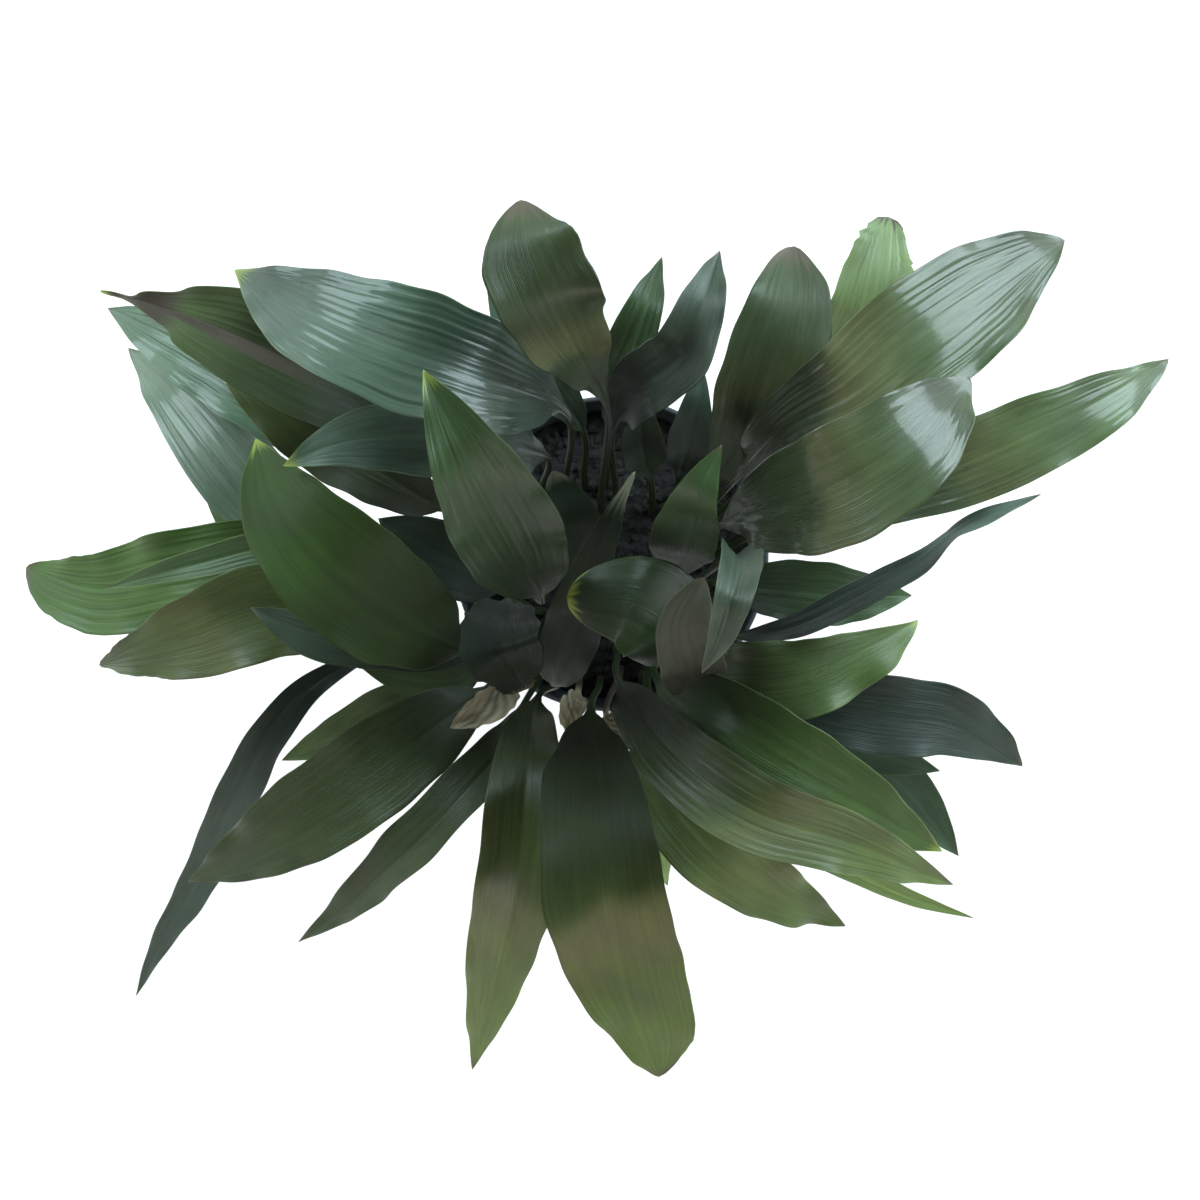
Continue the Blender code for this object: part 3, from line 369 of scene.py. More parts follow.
class LeafSettings(bpy.types.PropertyGroup):
    """Sizes and colours of the leaves."""
    stalk_radius: length("Stalk Radius", "Radius of a leaf's stalk at the neck", 0.0028)
    blade_thickness: length("Blade Thickness", "Thickness of the blade between its veins", 0.0009)
    pleat_height: length("Pleat Height", "Height of the lengthwise folds of a strongly pleated leaf", 0.00050)
    margin_wave: length("Margin Wave", "How far a rippled margin rises and falls", 0.0045)
    vein_depth: length("Vein Depth", "Depth of the fine parallel veins in the gloss", 0.00016)
    roughness: portion("Roughness", "Mean roughness of a leaf", 0.33)
    mid: colour("Mid Green", "Green of an ordinary leaf", (0.036, 0.072, 0.024))
    deep: colour("Deep Green", "Green of the oldest, darkest leaves", (0.017, 0.029, 0.016))
    slate: colour("Slate Green", "Dark bluish green", (0.022, 0.036, 0.026))
    # Partly the leaf's cool green, partly painted sheen: the grey-blue of cool window light reflected on
    # glossy leaves.
    blue: colour("Blue Green", "Cool green of the glossiest leaves", (0.046, 0.086, 0.054))
    olive: colour("Olive Green", "Warm green of sun-worn leaves", (0.048, 0.074, 0.024))
    warm: colour("Warm Green", "Yellowish green", (0.052, 0.076, 0.020))
    light: colour("Light Green", "Fresh green of younger leaves", (0.040, 0.080, 0.016))
    bright: colour("Bright Green", "Brightest young green", (0.068, 0.112, 0.030))
    # Partly the leaf's cool green, partly a painted highlight of cool window light.
    mint: colour("Mint Green", "Cool pale green", (0.088, 0.155, 0.092))
    pale: colour("Pale Green", "Striped pale leaf", (0.250, 0.360, 0.150))
    grey: colour("Grey Green", "Greyish green of folded leaves", (0.060, 0.088, 0.058))
    sage: colour("Sage Green", "Greyed green of older glossy leaves", (0.060, 0.092, 0.036))
    # Painted light: the warm colour of a painted band of light across a blade.
    painted_glow: colour("Painted Glow Band", "Colour of a painted band of warm light across a blade", (0.150, 0.150, 0.062))
    tip_yellow: colour("Yellow Tip", "Colour of a fading tip", (0.260, 0.330, 0.060))
    tip_brown: colour("Brown Tip", "Colour of a dry tip", (0.110, 0.092, 0.062))
    tip_grey: colour("Papery Tip", "Colour of a papery grey tip", (0.178, 0.186, 0.132))
    # Painted shade: the share of its colour that a leaf keeps near the crown, in the middle of the plant.
    painted_crown_shade: portion("Crown Shade", "How much of its colour a leaf keeps near the crown", 0.34)
    sheath: colour("Stalk Base", "Colour of the scaly base of a stalk", (0.035, 0.027, 0.018))


class DrySettings(bpy.types.PropertyGroup):
    """Colours of the withered sheaths and old stalks."""
    paper: colour("Dry Sheath", "Colour of a papery sheath", (0.420, 0.380, 0.255))
    stalk: colour("Old Stalk", "Colour of a bare old stalk", (0.045, 0.040, 0.028))
    stalk_radius: length("Old Stalk Radius", "Radius of a bare old stalk", 0.0019)


class SoilSettings(bpy.types.PropertyGroup):
    """The compost and its bark crumbs."""
    # Partly the compost's own dark colour, partly painted shade: compost and bark are set near black, darker
    # than compost is, for the shade under the crowded crown.
    earth: colour("Compost", "Colour of the moist compost", (0.004, 0.004, 0.004))
    bark: colour("Bark", "Colour of the bark crumbs", (0.007, 0.006, 0.005))
    lump: length("Lump Height", "How uneven the bed is", 0.0022)
    crumbs: IntProperty(name="Crumbs", description="How many bark crumbs lie on the bed", default=900, min=0)


class PotSettings(bpy.types.PropertyGroup):
    """The plain round pot."""
    body: colour("Pot", "Colour of the moulded pot", (0.045, 0.054, 0.062))
    roughness: portion("Roughness", "Roughness of the pot", 0.55)
    wall: length("Wall", "Thickness of the pot's wall", 0.0045)
    collar: length("Collar", "Height of the collar under the rim", 0.030)


class StudioSettings(bpy.types.PropertyGroup):
    """Floor, lights and camera."""
    floor: colour("Floor", "Colour of the plain floor", (0.56, 0.56, 0.56))
    window_power: FloatProperty(
        name="Windows", description="Watts that the power of each window is a multiple of", default=54.0)
    fill: FloatProperty(name="Fill", description="Strength of the even light of the room", default=0.80)
    camera_height: length("Camera Height", "Height of the camera over the floor", 1.75)


# ---------------------------------------------------------------- curves and grids
def unit(vectors):
    return vectors / np.maximum(np.linalg.norm(vectors, axis=-1, keepdims=True), 1e-12)


def smooth_step(low, high, x):
    """0 below low, 1 above high, and 3t^2 - 2t^3 between."""
    t = np.clip((x - low) / (high - low), 0.0, 1.0)
    return t * t * (3.0 - 2.0 * t)


def smooth_curve(points, steps=24):
    """Centripetal Catmull-Rom curve through the points, and the index of each point on it."""
    p = np.asarray(points, float)
    p = np.vstack([2 * p[0] - p[1], p, 2 * p[-1] - p[-2]])
    pieces = []
    marks = [0]
    for i in range(1, len(p) - 2):
        k = np.concatenate([[0.0], np.cumsum(np.linalg.norm(np.diff(p[i - 1:i + 3], axis=0), axis=1) ** 0.5)])
        t = np.linspace(k[1], k[2], steps, endpoint=i == len(p) - 3)[:, None]
        a = [((k[j + 1] - t) * p[i - 1 + j] + (t - k[j]) * p[i + j]) / (k[j + 1] - k[j]) for j in range(3)]
        b = [((k[j + 2] - t) * a[j] + (t - k[j]) * a[j + 1]) / (k[j + 2] - k[j]) for j in range(2)]
        pieces.append(((k[2] - t) * b[0] + (t - k[1]) * b[1]) / (k[2] - k[1]))
        marks.append(marks[-1] + len(t))
    marks[-1] -= 1
    return np.vstack(pieces), marks


def ripple(x, seed, waves, low, high):
    """Smooth irregular wave in about -1..1: a sum of sines with seeded pitches and phases."""
    rng = np.random.default_rng(seed)
    pitch = rng.uniform(low, high, waves)
    phase = rng.uniform(0.0, 2.0 * np.pi, waves)
    share = rng.uniform(0.5, 1.0, waves)
    total = (share * np.sin(2.0 * np.pi * pitch * np.asarray(x)[..., None] + phase)).sum(-1)
    return total / share.sum() * 1.6


def ring_faces(rings, count):
    """Quads between closed rings of `count` points, and fans to a point at each end."""
    k = np.arange(count)
    n = (k + 1) % count
    base = (np.arange(rings - 1) * count)[:, None]
    quads = np.stack([base + k, base + n, base + n + count, base + k + count], axis=-1).reshape(-1, 4)
    first = rings * count
    start = np.stack([np.full(count, first), n, k], axis=-1)
    last = (rings - 1) * count
    end = np.stack([last + k, last + n, np.full(count, first + 1)], axis=-1)
    return quads.tolist() + start.tolist() + end.tolist()


def add_surface(name, points, faces, attributes, material, smooth=True):
    """A new piece from its points and faces, with its point attributes and material."""
    mesh = bpy.data.meshes.new(name)
    mesh.from_pydata(np.asarray(points).tolist(), [], faces)
    for label, kind, values in attributes:
        field = "color" if kind == "FLOAT_COLOR" else "vector"
        store = mesh.attributes.new(label, kind, "POINT")
        store.data.foreach_set(field, np.ascontiguousarray(values, dtype=np.float32).ravel())
    mesh.polygons.foreach_set("use_smooth", np.full(len(mesh.polygons), smooth))
    mesh.materials.append(material)
    mesh.update()
    piece = bpy.data.objects.new(name, mesh)
    bpy.context.scene.collection.objects.link(piece)
    return piece


def stand_for(piece, node):
    """The piece rides on the plant and stands for its CAD node, which is hidden."""
    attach(piece, "root")
    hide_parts(node)


# ---------------------------------------------------------------- leaf shape
def midline(points):
    """The smooth curve through the points, and how far along it each of them lies."""
    dense, marks = smooth_curve(points)
    run = np.concatenate([[0.0], np.cumsum(np.linalg.norm(np.diff(dense, axis=0), axis=1))])
    return Route(dense, run, [run[m] for m in marks])


def at(route, distance):
    """Points of a midline at distances along it."""
    return np.stack([np.interp(distance, route.run, route.dense[:, k]) for k in range(3)], axis=1)


def leaf_route(leaf):
    """Midline from inside the compost, steeply up the stalk and along the blade."""
    root = np.array([*leaf["root"], SOIL_TOP - ROOT_DEPTH])
    neck = np.array(leaf["rib"][0])
    knee = root + (neck - root) * np.array([0.22, 0.22, 0.45])
    return midline([root, knee, *leaf["rib"]])


def leaf_frames(leaf, route, along):
    """Points of the midline at distances along it, with the side and face directions there: the
    side is level and square to the course of the blade, and roll turns both about the midline."""
    step = 0.002
    end = route.run[-1]
    heading = unit(at(route, np.clip(along + step, 0, end)) - at(route, np.clip(along - step, 0, end)))
    reach = route.dense[-1] - route.dense[0]
    outward = unit(np.array([reach[0], reach[1], 0.0]))
    # The stalk may lean one way and the blade the other: the side is read from just past the neck.
    # A little of the way outwards is added, because a course straight up has no level part.
    ahead = np.clip(along, route.marks[NECK] + NECK_REACH, end - step)
    course = unit(at(route, ahead + step) - at(route, ahead - step))
    side = np.cross(course * np.array([1.0, 1.0, 0.0]) + 0.12 * outward, [0.0, 0.0, 1.0])
    side = unit(side - (side * heading).sum(1, keepdims=True) * heading)
    face = np.cross(side, heading)
    rolls = (0.0,) + tuple(leaf.get("roll", (0.0,) * (len(route.marks) - 1)))
    roll = np.radians(np.interp(along, route.marks, rolls))[:, None]
    sine, cosine = np.sin(roll), np.cos(roll)
    return at(route, along), side * cosine + face * sine, face * cosine - side * sine


def outline(share, rise, fall):
    """Half-width share along the blade, t^rise (1-t)^fall, scaled to 1 where it is widest."""
    widest = rise / (rise + fall)
    shape = np.clip(share, 0, 1) ** rise * np.clip(1 - share, 0, 1) ** fall
    return shape / (widest ** rise * (1 - widest) ** fall)


def blade_widths(leaf, share, seed):
    """Half-widths of the blade to the left and to the right of its midrib: the outline, straight
    from its corner to the tip, times slow unevenness and, near the end, quick fraying."""
    rise = leaf["taper"] * leaf["belly"] / (1.0 - leaf["belly"])
    blunt = 0.85 - 0.45 * min(leaf["fray"], 1.0)
    tail = leaf["tail"] * smooth_step(0.0, 0.25, share) * np.clip(1.0 - share, 0.0, 1.0) ** 0.3
    widths = []
    for k, fall in enumerate(leaf.get("tips", (leaf["taper"], leaf["taper"]))):
        corner = leaf["corner"][k]
        width = outline(np.minimum(share, corner), rise, fall)
        width = width * np.clip((1.0 - share) / max(1.0 - corner, 1e-6), 0.0, 1.0) ** blunt
        slow = 0.035 * leaf["ragged"] * ripple(share * 4.0, seed + 1 + k, 4, 0.6, 2.2)
        quick = 0.07 * leaf["fray"] * ripple(share, seed + 31 + k, 5, 14.0, 34.0)
        quick = quick * smooth_step(0.72, 0.92, share)
        widths.append(np.maximum(leaf["half"] * width * (1.0 + slow + quick), tail))
    return widths


def section(count):
    """Across positions -1..1 over the top and back under, closer together at the margins."""
    k = np.linspace(0.0, 1.0, count)
    top = 0.55 * (2.0 * k - 1.0) - 0.45 * np.cos(np.pi * k)
    across = np.concatenate([top, top[-2:0:-1]])
    under = np.concatenate([np.zeros(count), np.ones(count - 2)])
    return across, under


def inside(s):
    """1 along the blade and 0 at its neck and its tip."""
    return smooth_step(0.0, 0.10, s) * smooth_step(0.0, 0.12, 1.0 - s)


def pleats(leaf, seed, settings, share, v, mean):
    """Height of the lengthwise folds: a cosine of the place across, uneven in place and height,
    that fades towards the midrib, the margins, the neck and the narrow ends."""
    s = share[:, None]
    number = 3.0 + 9.0 * np.clip(leaf["half"] / 0.046, 0.3, 1.0)
    sway = 0.005 * ripple(share * 2.0, seed + 3, 3, 0.4, 1.2)[:, None]
    uneven = 0.06 * ripple(v * 1.5, seed + 13, 3, 0.7, 1.7)
    pleat = np.cos(np.pi * number * (np.abs(v) + uneven + sway) + 0.8 * np.sign(v))
    pleat = pleat * (0.5 + 0.6 * ripple(v * 4.0 + s * 2.2, seed + 4, 4, 0.5, 1.6))
    pleat = settings.pleat_height * leaf["pleat"] * pleat * inside(s) * smooth_step(0.03, 0.2, np.abs(v))
    pleat = pleat * smooth_step(0.08, 0.38, s)
    pleat = pleat * np.clip(mean / leaf["half"] * 1.4, 0.0, 1.0) ** 1.5
    return pleat * smooth_step(0.0, 0.2, 1.0 - np.abs(v))


def margin_waves(leaf, seed, settings, share, v, length_along):
    """Height of the rippled margins: a wave of its own for each side, growing with the place
    across, with about two and a half more beats for each 0.3 m of blade."""
    beat = 2.0 + 2.5 * length_along / 0.3
    waves = [ripple(share * beat, seed + k, 3, 0.7, 1.3)[:, None] for k in (5, 6)]
    waves = np.where(v > 0.0, *waves)
    waves = waves * settings.margin_wave * leaf["wave"] * np.abs(v) ** 2.2 * inside(share[:, None])
    return waves * np.clip(leaf["half"] / 0.035, 0.3, 1.1)


def leaf_grid(leaf, seed, settings):
    """The closed surface of one leaf over (distance along, place across).
    Across the blade the height is the sum of a parabolic channel, a V fold, pleats, a groove over
    the midrib, a keel under it, rippled margins and a slow bow; the stalk is a grooved round rod."""
    fine = 1.0
    route = leaf_route(leaf)
    neck, end = route.marks[NECK], route.run[-1]
    stalk = np.linspace(0.0, neck, int(22 * fine), endpoint=False)
    t = np.linspace(0.0, 1.0, int(92 * fine))[1:-1]
    blade = neck + (end - neck) * (t * 0.85 + 0.15 * (1.0 - np.cos(np.pi * t)) / 2.0)
    along = np.concatenate([stalk, blade])
    middle, side, face = leaf_frames(leaf, route, along)
    share = (along - neck) / (end - neck)
    across, under = section(int((76 if leaf["pleat"] >= 0.9 and leaf["half"] > 0.022 else 36) * fine))
    v = across[None, :]
    s = share[:, None]
    is_top = under[None, :] == 0.0
    on_blade = smooth_step(0.0, 0.14, s)

    swelling = 1.0 + 0.35 * np.exp(-along / 0.030) + 0.25 * np.clip(1.0 - along / neck, 0, 1)
    stem = settings.stalk_radius * swelling
    stem = stem * np.clip(1.0 - share, 0.0, 1.0) ** 0.5
    left, right = blade_widths(leaf, share, seed)
    half = np.where(v > 0.0, np.hypot(right, stem)[:, None], np.hypot(left, stem)[:, None])
    mean = np.hypot((left + right) / 2.0, stem)[:, None]

    thin = settings.blade_thickness / 2.0 * (0.65 + 0.35 * smooth_step(0.0, 0.1, s))
    keel = stem[:, None] * 0.9 * np.clip(1.0 - s * 1.15, 0.0, 1.0) ** 1.6
    ridge = np.exp(-(v * half / (1.1 * stem[:, None] + 0.0004)) ** 2)
    body = np.where(s <= 0.0, stem[:, None] * 0.95, np.maximum(thin, keel * ridge))
    round_edge = np.sqrt(np.clip(1.0 - v ** 2, 0.0, 1.0))
    round_blade = np.clip(round_edge * 4.0, 0.0, 1.0) ** 0.5
    swell = round_edge + (round_blade - round_edge) * on_blade

    cup = leaf["cup"] * mean * (v ** 2 - 0.35) * np.clip(s * 6.0, 0.0, 1.0)
    fold = leaf["fold"] * mean * (np.abs(v) - 0.5) * on_blade
    # The groove takes at most about half of the thickness, so it never reaches the underside.
    depth = np.minimum(GROOVE_DEPTH, 0.55 * (thin + np.maximum(thin, keel)))
    groove = -depth * np.exp(-(v * half / GROOVE_WIDTH) ** 2) * inside(s)
    groove = groove - 0.0008 * np.exp(-(v / 0.35) ** 2) * (1.0 - on_blade) * (s > -0.9)
    bow = 0.0011 * ripple(share * 2.2, seed + 7, 3, 0.6, 1.4)[:, None] * inside(s)

    shared = cup + fold + pleats(leaf, seed, settings, share, v, mean)
    shared = shared + margin_waves(leaf, seed, settings, share, v, end - neck) + bow
    top = shared + groove * is_top + body * swell * np.where(s <= 0.0, 1.0, 0.0)
    top = top + np.where(s > 0.0, thin * swell + 0.25 * keel * ridge * (1.0 - on_blade), 0.0)
    lift = np.where(is_top, top, shared - body * swell)
    points = middle[:, None] + side[:, None] * (half * v)[..., None] + face[:, None] * lift[..., None]
    return Grid(points, at(route, np.array([0.0, end])), along[:, None], s, v, under[None, :], half)


# ---------------------------------------------------------------- leaf colours
def toward(tone, other, share):
    """The tone moved by a share of the way to another colour."""
    return tone + (np.array(other) - tone) * share[..., None]


def with_relief(tone, share):
    """The colours with the strength of the fine relief as a fourth value."""
    return np.concatenate([tone, (np.ones(tone.shape[:2]) * share)[..., None]], axis=-1)


def green_with_painted_light(grid, leaf, seed, settings, crown_darkening, slant):
    """The leaf's green with painted light and shade: mottled along, striped across, painted shade near
    the crown, painted light on the outer part, painted light and shade from base to end over its own
    lightness, a painted band of warm light across it, and a paler midrib."""
    s, v = grid.s, grid.v
    mottle = 1.0 + 0.12 * ripple(s * 2.0 + 0.2 * v, seed + 8, 4, 0.5, 2.0)
    stripe = 1.0 + 0.10 * ripple(v * 5.0, seed + 9, 5, 0.5, 2.5)
    # Painted light: past a slanted line the outer part of the blade is made lighter.
    start, soft, lift = leaf["painted_sun"]
    lit = 1.0 + (lift - 1.0) * smooth_step(start - soft, start + soft, slant)
    # Painted light and shade along the blade, set leaf by leaf, over the leaf's own lightness.
    part = np.interp(s, (0.15, 0.5, 0.85), leaf["shade"])
    tone = np.array(getattr(settings, leaf["tone"])) * (mottle * stripe * crown_darkening * lit * part)[..., None]
    # Painted light: a band of warm light across the blade, near the edge of the lighter outer part.
    glow_place, strength = leaf["painted_glow_and_tip_fade"]
    glow = smooth_step(glow_place - 0.05, glow_place + 0.01, slant) * smooth_step(glow_place + 0.22, glow_place + 0.03, slant)
    tone = toward(tone, settings.painted_glow, glow * strength)
    rib = np.exp(-(v * grid.half / 0.0014) ** 2) * smooth_step(1.0, 0.6, s)
    return tone * (1.0 + 0.22 * rib)[..., None]


def leaf_tones(grid, leaf, seed, settings):
    """Colour over the leaf: its green with painted light and shade, then a dry band, a pale margin
    line dimmed near the crown by the painted crown shade, a tip that fades, a duller underside, the
    stalk's green with the painted crown shade and the scaly brown base of the stalk. The fourth value
    is how strong the fine relief is: it fades where the blade narrows."""
    s, v = grid.s, grid.v
    # Painted shade: leaves are darkened near the crown, in the middle of the plant.
    out = smooth_step(0.10, 0.36, np.hypot(grid.points[..., 0], grid.points[..., 1]))
    crown_darkening = settings.painted_crown_shade + (1.0 - settings.painted_crown_shade) * out
    # The slanted line across the blade where the painted light on the outer part and the painted warm band
    # lie.
    slant = s + 0.06 * np.sin(seed) * v + 0.010 * ripple(v, seed + 12, 3, 0.4, 1.0)
    tone = green_with_painted_light(grid, leaf, seed, settings, crown_darkening, slant)

    dry = leaf["band"] * smooth_step(0.22, 0.10, np.abs(v + 0.12)) * smooth_step(0.25, 0.45, s)
    dry = np.maximum(dry, leaf["band"] * smooth_step(0.66, 0.76, s))
    tone = toward(tone, np.array(settings.tip_brown) * 0.55, dry)
    line = smooth_step(0.0014, 0.0003, (1.0 - np.abs(v)) * grid.half) * (s > 0.1) * leaf["edge"] * 0.5
    # The pale margin line is dimmed near the crown by the same painted shade.
    line = line * (0.25 + 0.75 * smooth_step(0.3, 0.9, s)) * crown_darkening
    tone = toward(tone, np.array(settings.tip_yellow) * 0.7, line)

    painted_glow_and_tip_fade, begins, ends = TIPS[leaf["tip_tone"]]
    jag = 0.02 * ripple(v * 2.0 + 3.0, seed + 10, 4, 0.5, 2.0)
    ended = smooth_step(begins, ends, s + jag + 0.02 * v ** 2)
    if leaf["tip_tone"] == "pale":
        ended = ended * np.clip(0.5 + 0.9 * ripple(v * 7.0, seed + 11, 5, 0.5, 1.8), 0.1, 1.0)
    tone = toward(tone, getattr(settings, painted_glow_and_tip_fade), ended)

    tone = toward(tone, tone * np.array([1.10, 1.05, 1.20]) + 0.006, grid.under)
    # The stalk's green carries the painted crown shade.
    stalk = np.array(settings.mid) * np.array([1.1, 1.0, 0.9]) * settings.painted_crown_shade
    tone = toward(tone, stalk, smooth_step(0.03, -0.02, s))
    tone = toward(tone, settings.sheath, smooth_step(0.060, 0.020, grid.along))
    return with_relief(np.clip(tone, 0.0, 1.0), np.clip(grid.half / 0.022, 0.10, 1.0))


def close_surface(name, ending, grid, tone, number, material):
    """Makes one ringed piece with its two end points, its colours and its grain, which holds the
    distance along, the place across and a number of the piece's own, and stands it for its node."""
    rings, count = grid.points.shape[:2]
    grain = np.stack([np.ones((rings, count)) * place for place in (grid.along, grid.v, number)], axis=-1)
    every = np.vstack([grid.points.reshape(-1, 3), grid.ends])
    colours = np.vstack([tone.reshape(-1, 4), tone[0].mean(0), tone[-1].mean(0)])
    grains = np.vstack([grain.reshape(-1, 3), grain[0].mean(0), grain[-1].mean(0)])
    attributes = [("tone", "FLOAT_COLOR", colours), ("grain", "FLOAT_VECTOR", grains)]
    stand_for(add_surface(name + ending, every, ring_faces(rings, count), attributes, material), name)


# ---------------------------------------------------------------- materials
def new_material(name):
    """A new node material, with its tree and its Principled shader."""
    material = bpy.data.materials.new(name)
    material.use_nodes = True
    tree = material.node_tree
    shader = tree.nodes["Principled BSDF"]
    return material, tree, shader


def node(tree, kind, inputs=None, **settings):
    """A node with its settings, and inputs given as values or as sockets to link."""
    made = tree.nodes.new(kind)
    for key, value in settings.items():
        setattr(made, key, value)
    for key, value in (inputs or {}).items():
        if isinstance(value, bpy.types.NodeSocket):
            tree.links.new(value, made.inputs[key])
        else:
            made.inputs[key].default_value = value
    return made


def scaled(tree, vector, scale):
    return node(tree, "ShaderNodeMapping", {"Vector": vector, "Scale": scale}).outputs["Vector"]


def noise(tree, vector, scale, detail=3.0, roughness=0.55):
    made = node(tree, "ShaderNodeTexNoise", {"Vector": vector, "Scale": scale, "Detail": detail,
                                             "Roughness": roughness})
    return made.outputs["Fac"]


def spread(tree, value, low, high):
    """Maps 0.3..0.7 of a noise to low..high."""
    made = node(tree, "ShaderNodeMapRange", {"Value": value, "From Min": 0.3, "From Max": 0.7,
                                             "To Min": low, "To Max": high})
    return made.outputs["Result"]


def times(tree, a, b):
    return node(tree, "ShaderNodeMath", {0: a, 1: b}, operation="MULTIPLY").outputs[0]


def plus(tree, a, b):
    return node(tree, "ShaderNodeMath", {0: a, 1: b}, operation="ADD").outputs[0]


def tinted(tree, colour_socket, value):
    """The colour with its brightness multiplied by value."""
    made = node(tree, "ShaderNodeVectorMath", {0: colour_socket, "Scale": value}, operation="SCALE")
    return made.outputs["Vector"]


def bumped(tree, shader, height, distance):
    made = node(tree, "ShaderNodeBump", {"Height": height, "Distance": distance, "Strength": 1.0})
    tree.links.new(made.outputs["Normal"], shader.inputs["Normal"])


def leaf_material(settings, skin):
    """Leathery leaf: fine parallel veins in colour and relief, patchy gloss under a thin wax coat."""
    rough, coat, coat_rough, level = SKINS[skin]
    material, tree, shader = new_material("leaf_" + skin)
    paint = node(tree, "ShaderNodeAttribute", attribute_name="tone")
    tone = paint.outputs["Color"]
    grain = node(tree, "ShaderNodeAttribute", attribute_name="grain").outputs["Vector"]
    veins = noise(tree, scaled(tree, grain, (5.0, 26.0, 1.0)), 1.0, 4.0, 0.65)
    fibres = noise(tree, scaled(tree, grain, (14.0, 90.0, 1.0)), 1.0, 2.0)
    patches = noise(tree, scaled(tree, grain, (26.0, 2.2, 1.0)), 1.0, 3.0)
    cross = noise(tree, scaled(tree, grain, (420.0, 9.0, 1.0)), 1.0, 1.0)
    shade = times(tree, spread(tree, veins, 0.88, 1.12), spread(tree, fibres, 0.94, 1.06))
    shade = times(tree, shade, spread(tree, patches, 0.86, 1.14))
    tree.links.new(tinted(tree, tone, shade), shader.inputs["Base Color"])
    patchy = times(tree, spread(tree, patches, 0.86, 1.20), spread(tree, veins, 0.9, 1.1))
    tree.links.new(times(tree, patchy, settings.roughness * rough), shader.inputs["Roughness"])
    relief = plus(tree, veins, times(tree, fibres, 0.35))
    relief = plus(tree, relief, times(tree, cross, 0.10))
    bumped(tree, shader, times(tree, relief, paint.outputs["Alpha"]), settings.vein_depth * 4.0)
    shader.inputs["IOR"].default_value = 1.47
    shader.inputs["Specular IOR Level"].default_value = level
    shader.inputs["Coat Weight"].default_value = coat
    shader.inputs["Coat Roughness"].default_value = coat_rough
    return material


def paper_material(name):
    """Dry plant matter, from the surface's own colours: darker fibres and stains, quite rough."""
    material, tree, shader = new_material(name)
    tone = node(tree, "ShaderNodeAttribute", attribute_name="tone").outputs["Color"]
    grain = node(tree, "ShaderNodeAttribute", attribute_name="grain").outputs["Vector"]
    fibres = noise(tree, scaled(tree, grain, (8.0, 22.0, 1.0)), 1.0, 4.0, 0.7)
    stains = noise(tree, scaled(tree, grain, (40.0, 3.0, 1.0)), 1.0, 3.0)
    shade = times(tree, spread(tree, fibres, 0.55, 1.2), spread(tree, stains, 0.65, 1.15))
    tree.links.new(tinted(tree, tone, shade), shader.inputs["Base Color"])
    tree.links.new(spread(tree, stains, 0.62, 0.9), shader.inputs["Roughness"])
    bumped(tree, shader, fibres, 0.0012)
    return material


def soil_material(settings, name, base, size):
    """Moist compost: dark crumbs, lighter fibres, damp spots with less roughness."""
    material, tree, shader = new_material(name)
    place = node(tree, "ShaderNodeTexCoord").outputs["Object"]
    crumbs = noise(tree, place, size, 6.0, 0.7)
    damp = noise(tree, place, 30.0, 2.0)
    ramp = node(tree, "ShaderNodeValToRGB", {"Fac": crumbs})
    ramp.color_ramp.elements[0].position = 0.32
    ramp.color_ramp.elements[0].color = (*(c * 0.35 for c in base), 1.0)
    ramp.color_ramp.elements[1].position = 0.72
    ramp.color_ramp.elements[1].color = (*(min(1.0, c * 1.7) for c in base), 1.0)
    tree.links.new(ramp.outputs["Color"], shader.inputs["Base Color"])
    tree.links.new(spread(tree, damp, 0.62, 0.98), shader.inputs["Roughness"])
    bumped(tree, shader, crumbs, 0.0025)
    return material


def pot_material(settings):
    """Moulded matt plastic: faint cloudiness, fine orange-peel grain, fine mottling in colour and roughness.
    """
    material, tree, shader = new_material("pot_plastic")
    place = node(tree, "ShaderNodeTexCoord").outputs["Object"]
    cloud = noise(tree, place, 14.0, 3.0)
    grain = noise(tree, place, 900.0, 2.0)
    scuff = noise(tree, scaled(tree, place, (60.0, 60.0, 240.0)), 1.0, 4.0, 0.7)
    base = node(tree, "ShaderNodeRGB")
    base.outputs[0].default_value = (*settings.body, 1.0)
    shade = times(tree, spread(tree, cloud, 0.86, 1.14), spread(tree, scuff, 0.94, 1.08))
    tree.links.new(tinted(tree, base.outputs[0], shade), shader.inputs["Base Color"])
    rough = spread(tree, scuff, settings.roughness - 0.06, settings.roughness + 0.10)
    tree.links.new(rough, shader.inputs["Roughness"])
    bumped(tree, shader, grain, 0.00008)
    return material


# ---------------------------------------------------------------- operators
class PLANT_OT_leaves(bpy.types.Operator):
    """Build every green leaf with its stalk"""
    bl_idname = "plant.leaves"
    bl_label = "Build Leaves"

    def execute(self, context):
        settings = context.scene.plant_leaf
        skins = {skin: leaf_material(settings, skin) for skin in SKINS}
        for index, (name, own) in enumerate(LEAVES.items()):
            leaf = {**PLAIN, **own}
            seed = 100 + 20 * index
            grid = leaf_grid(leaf, seed, settings)
            tone = leaf_tones(grid, leaf, seed, settings)
            number = index * 7.3 + grid.under * 3.1
            close_surface(name, "_blade", grid, tone, number, skins[leaf["skin"]])
        return {"FINISHED"}


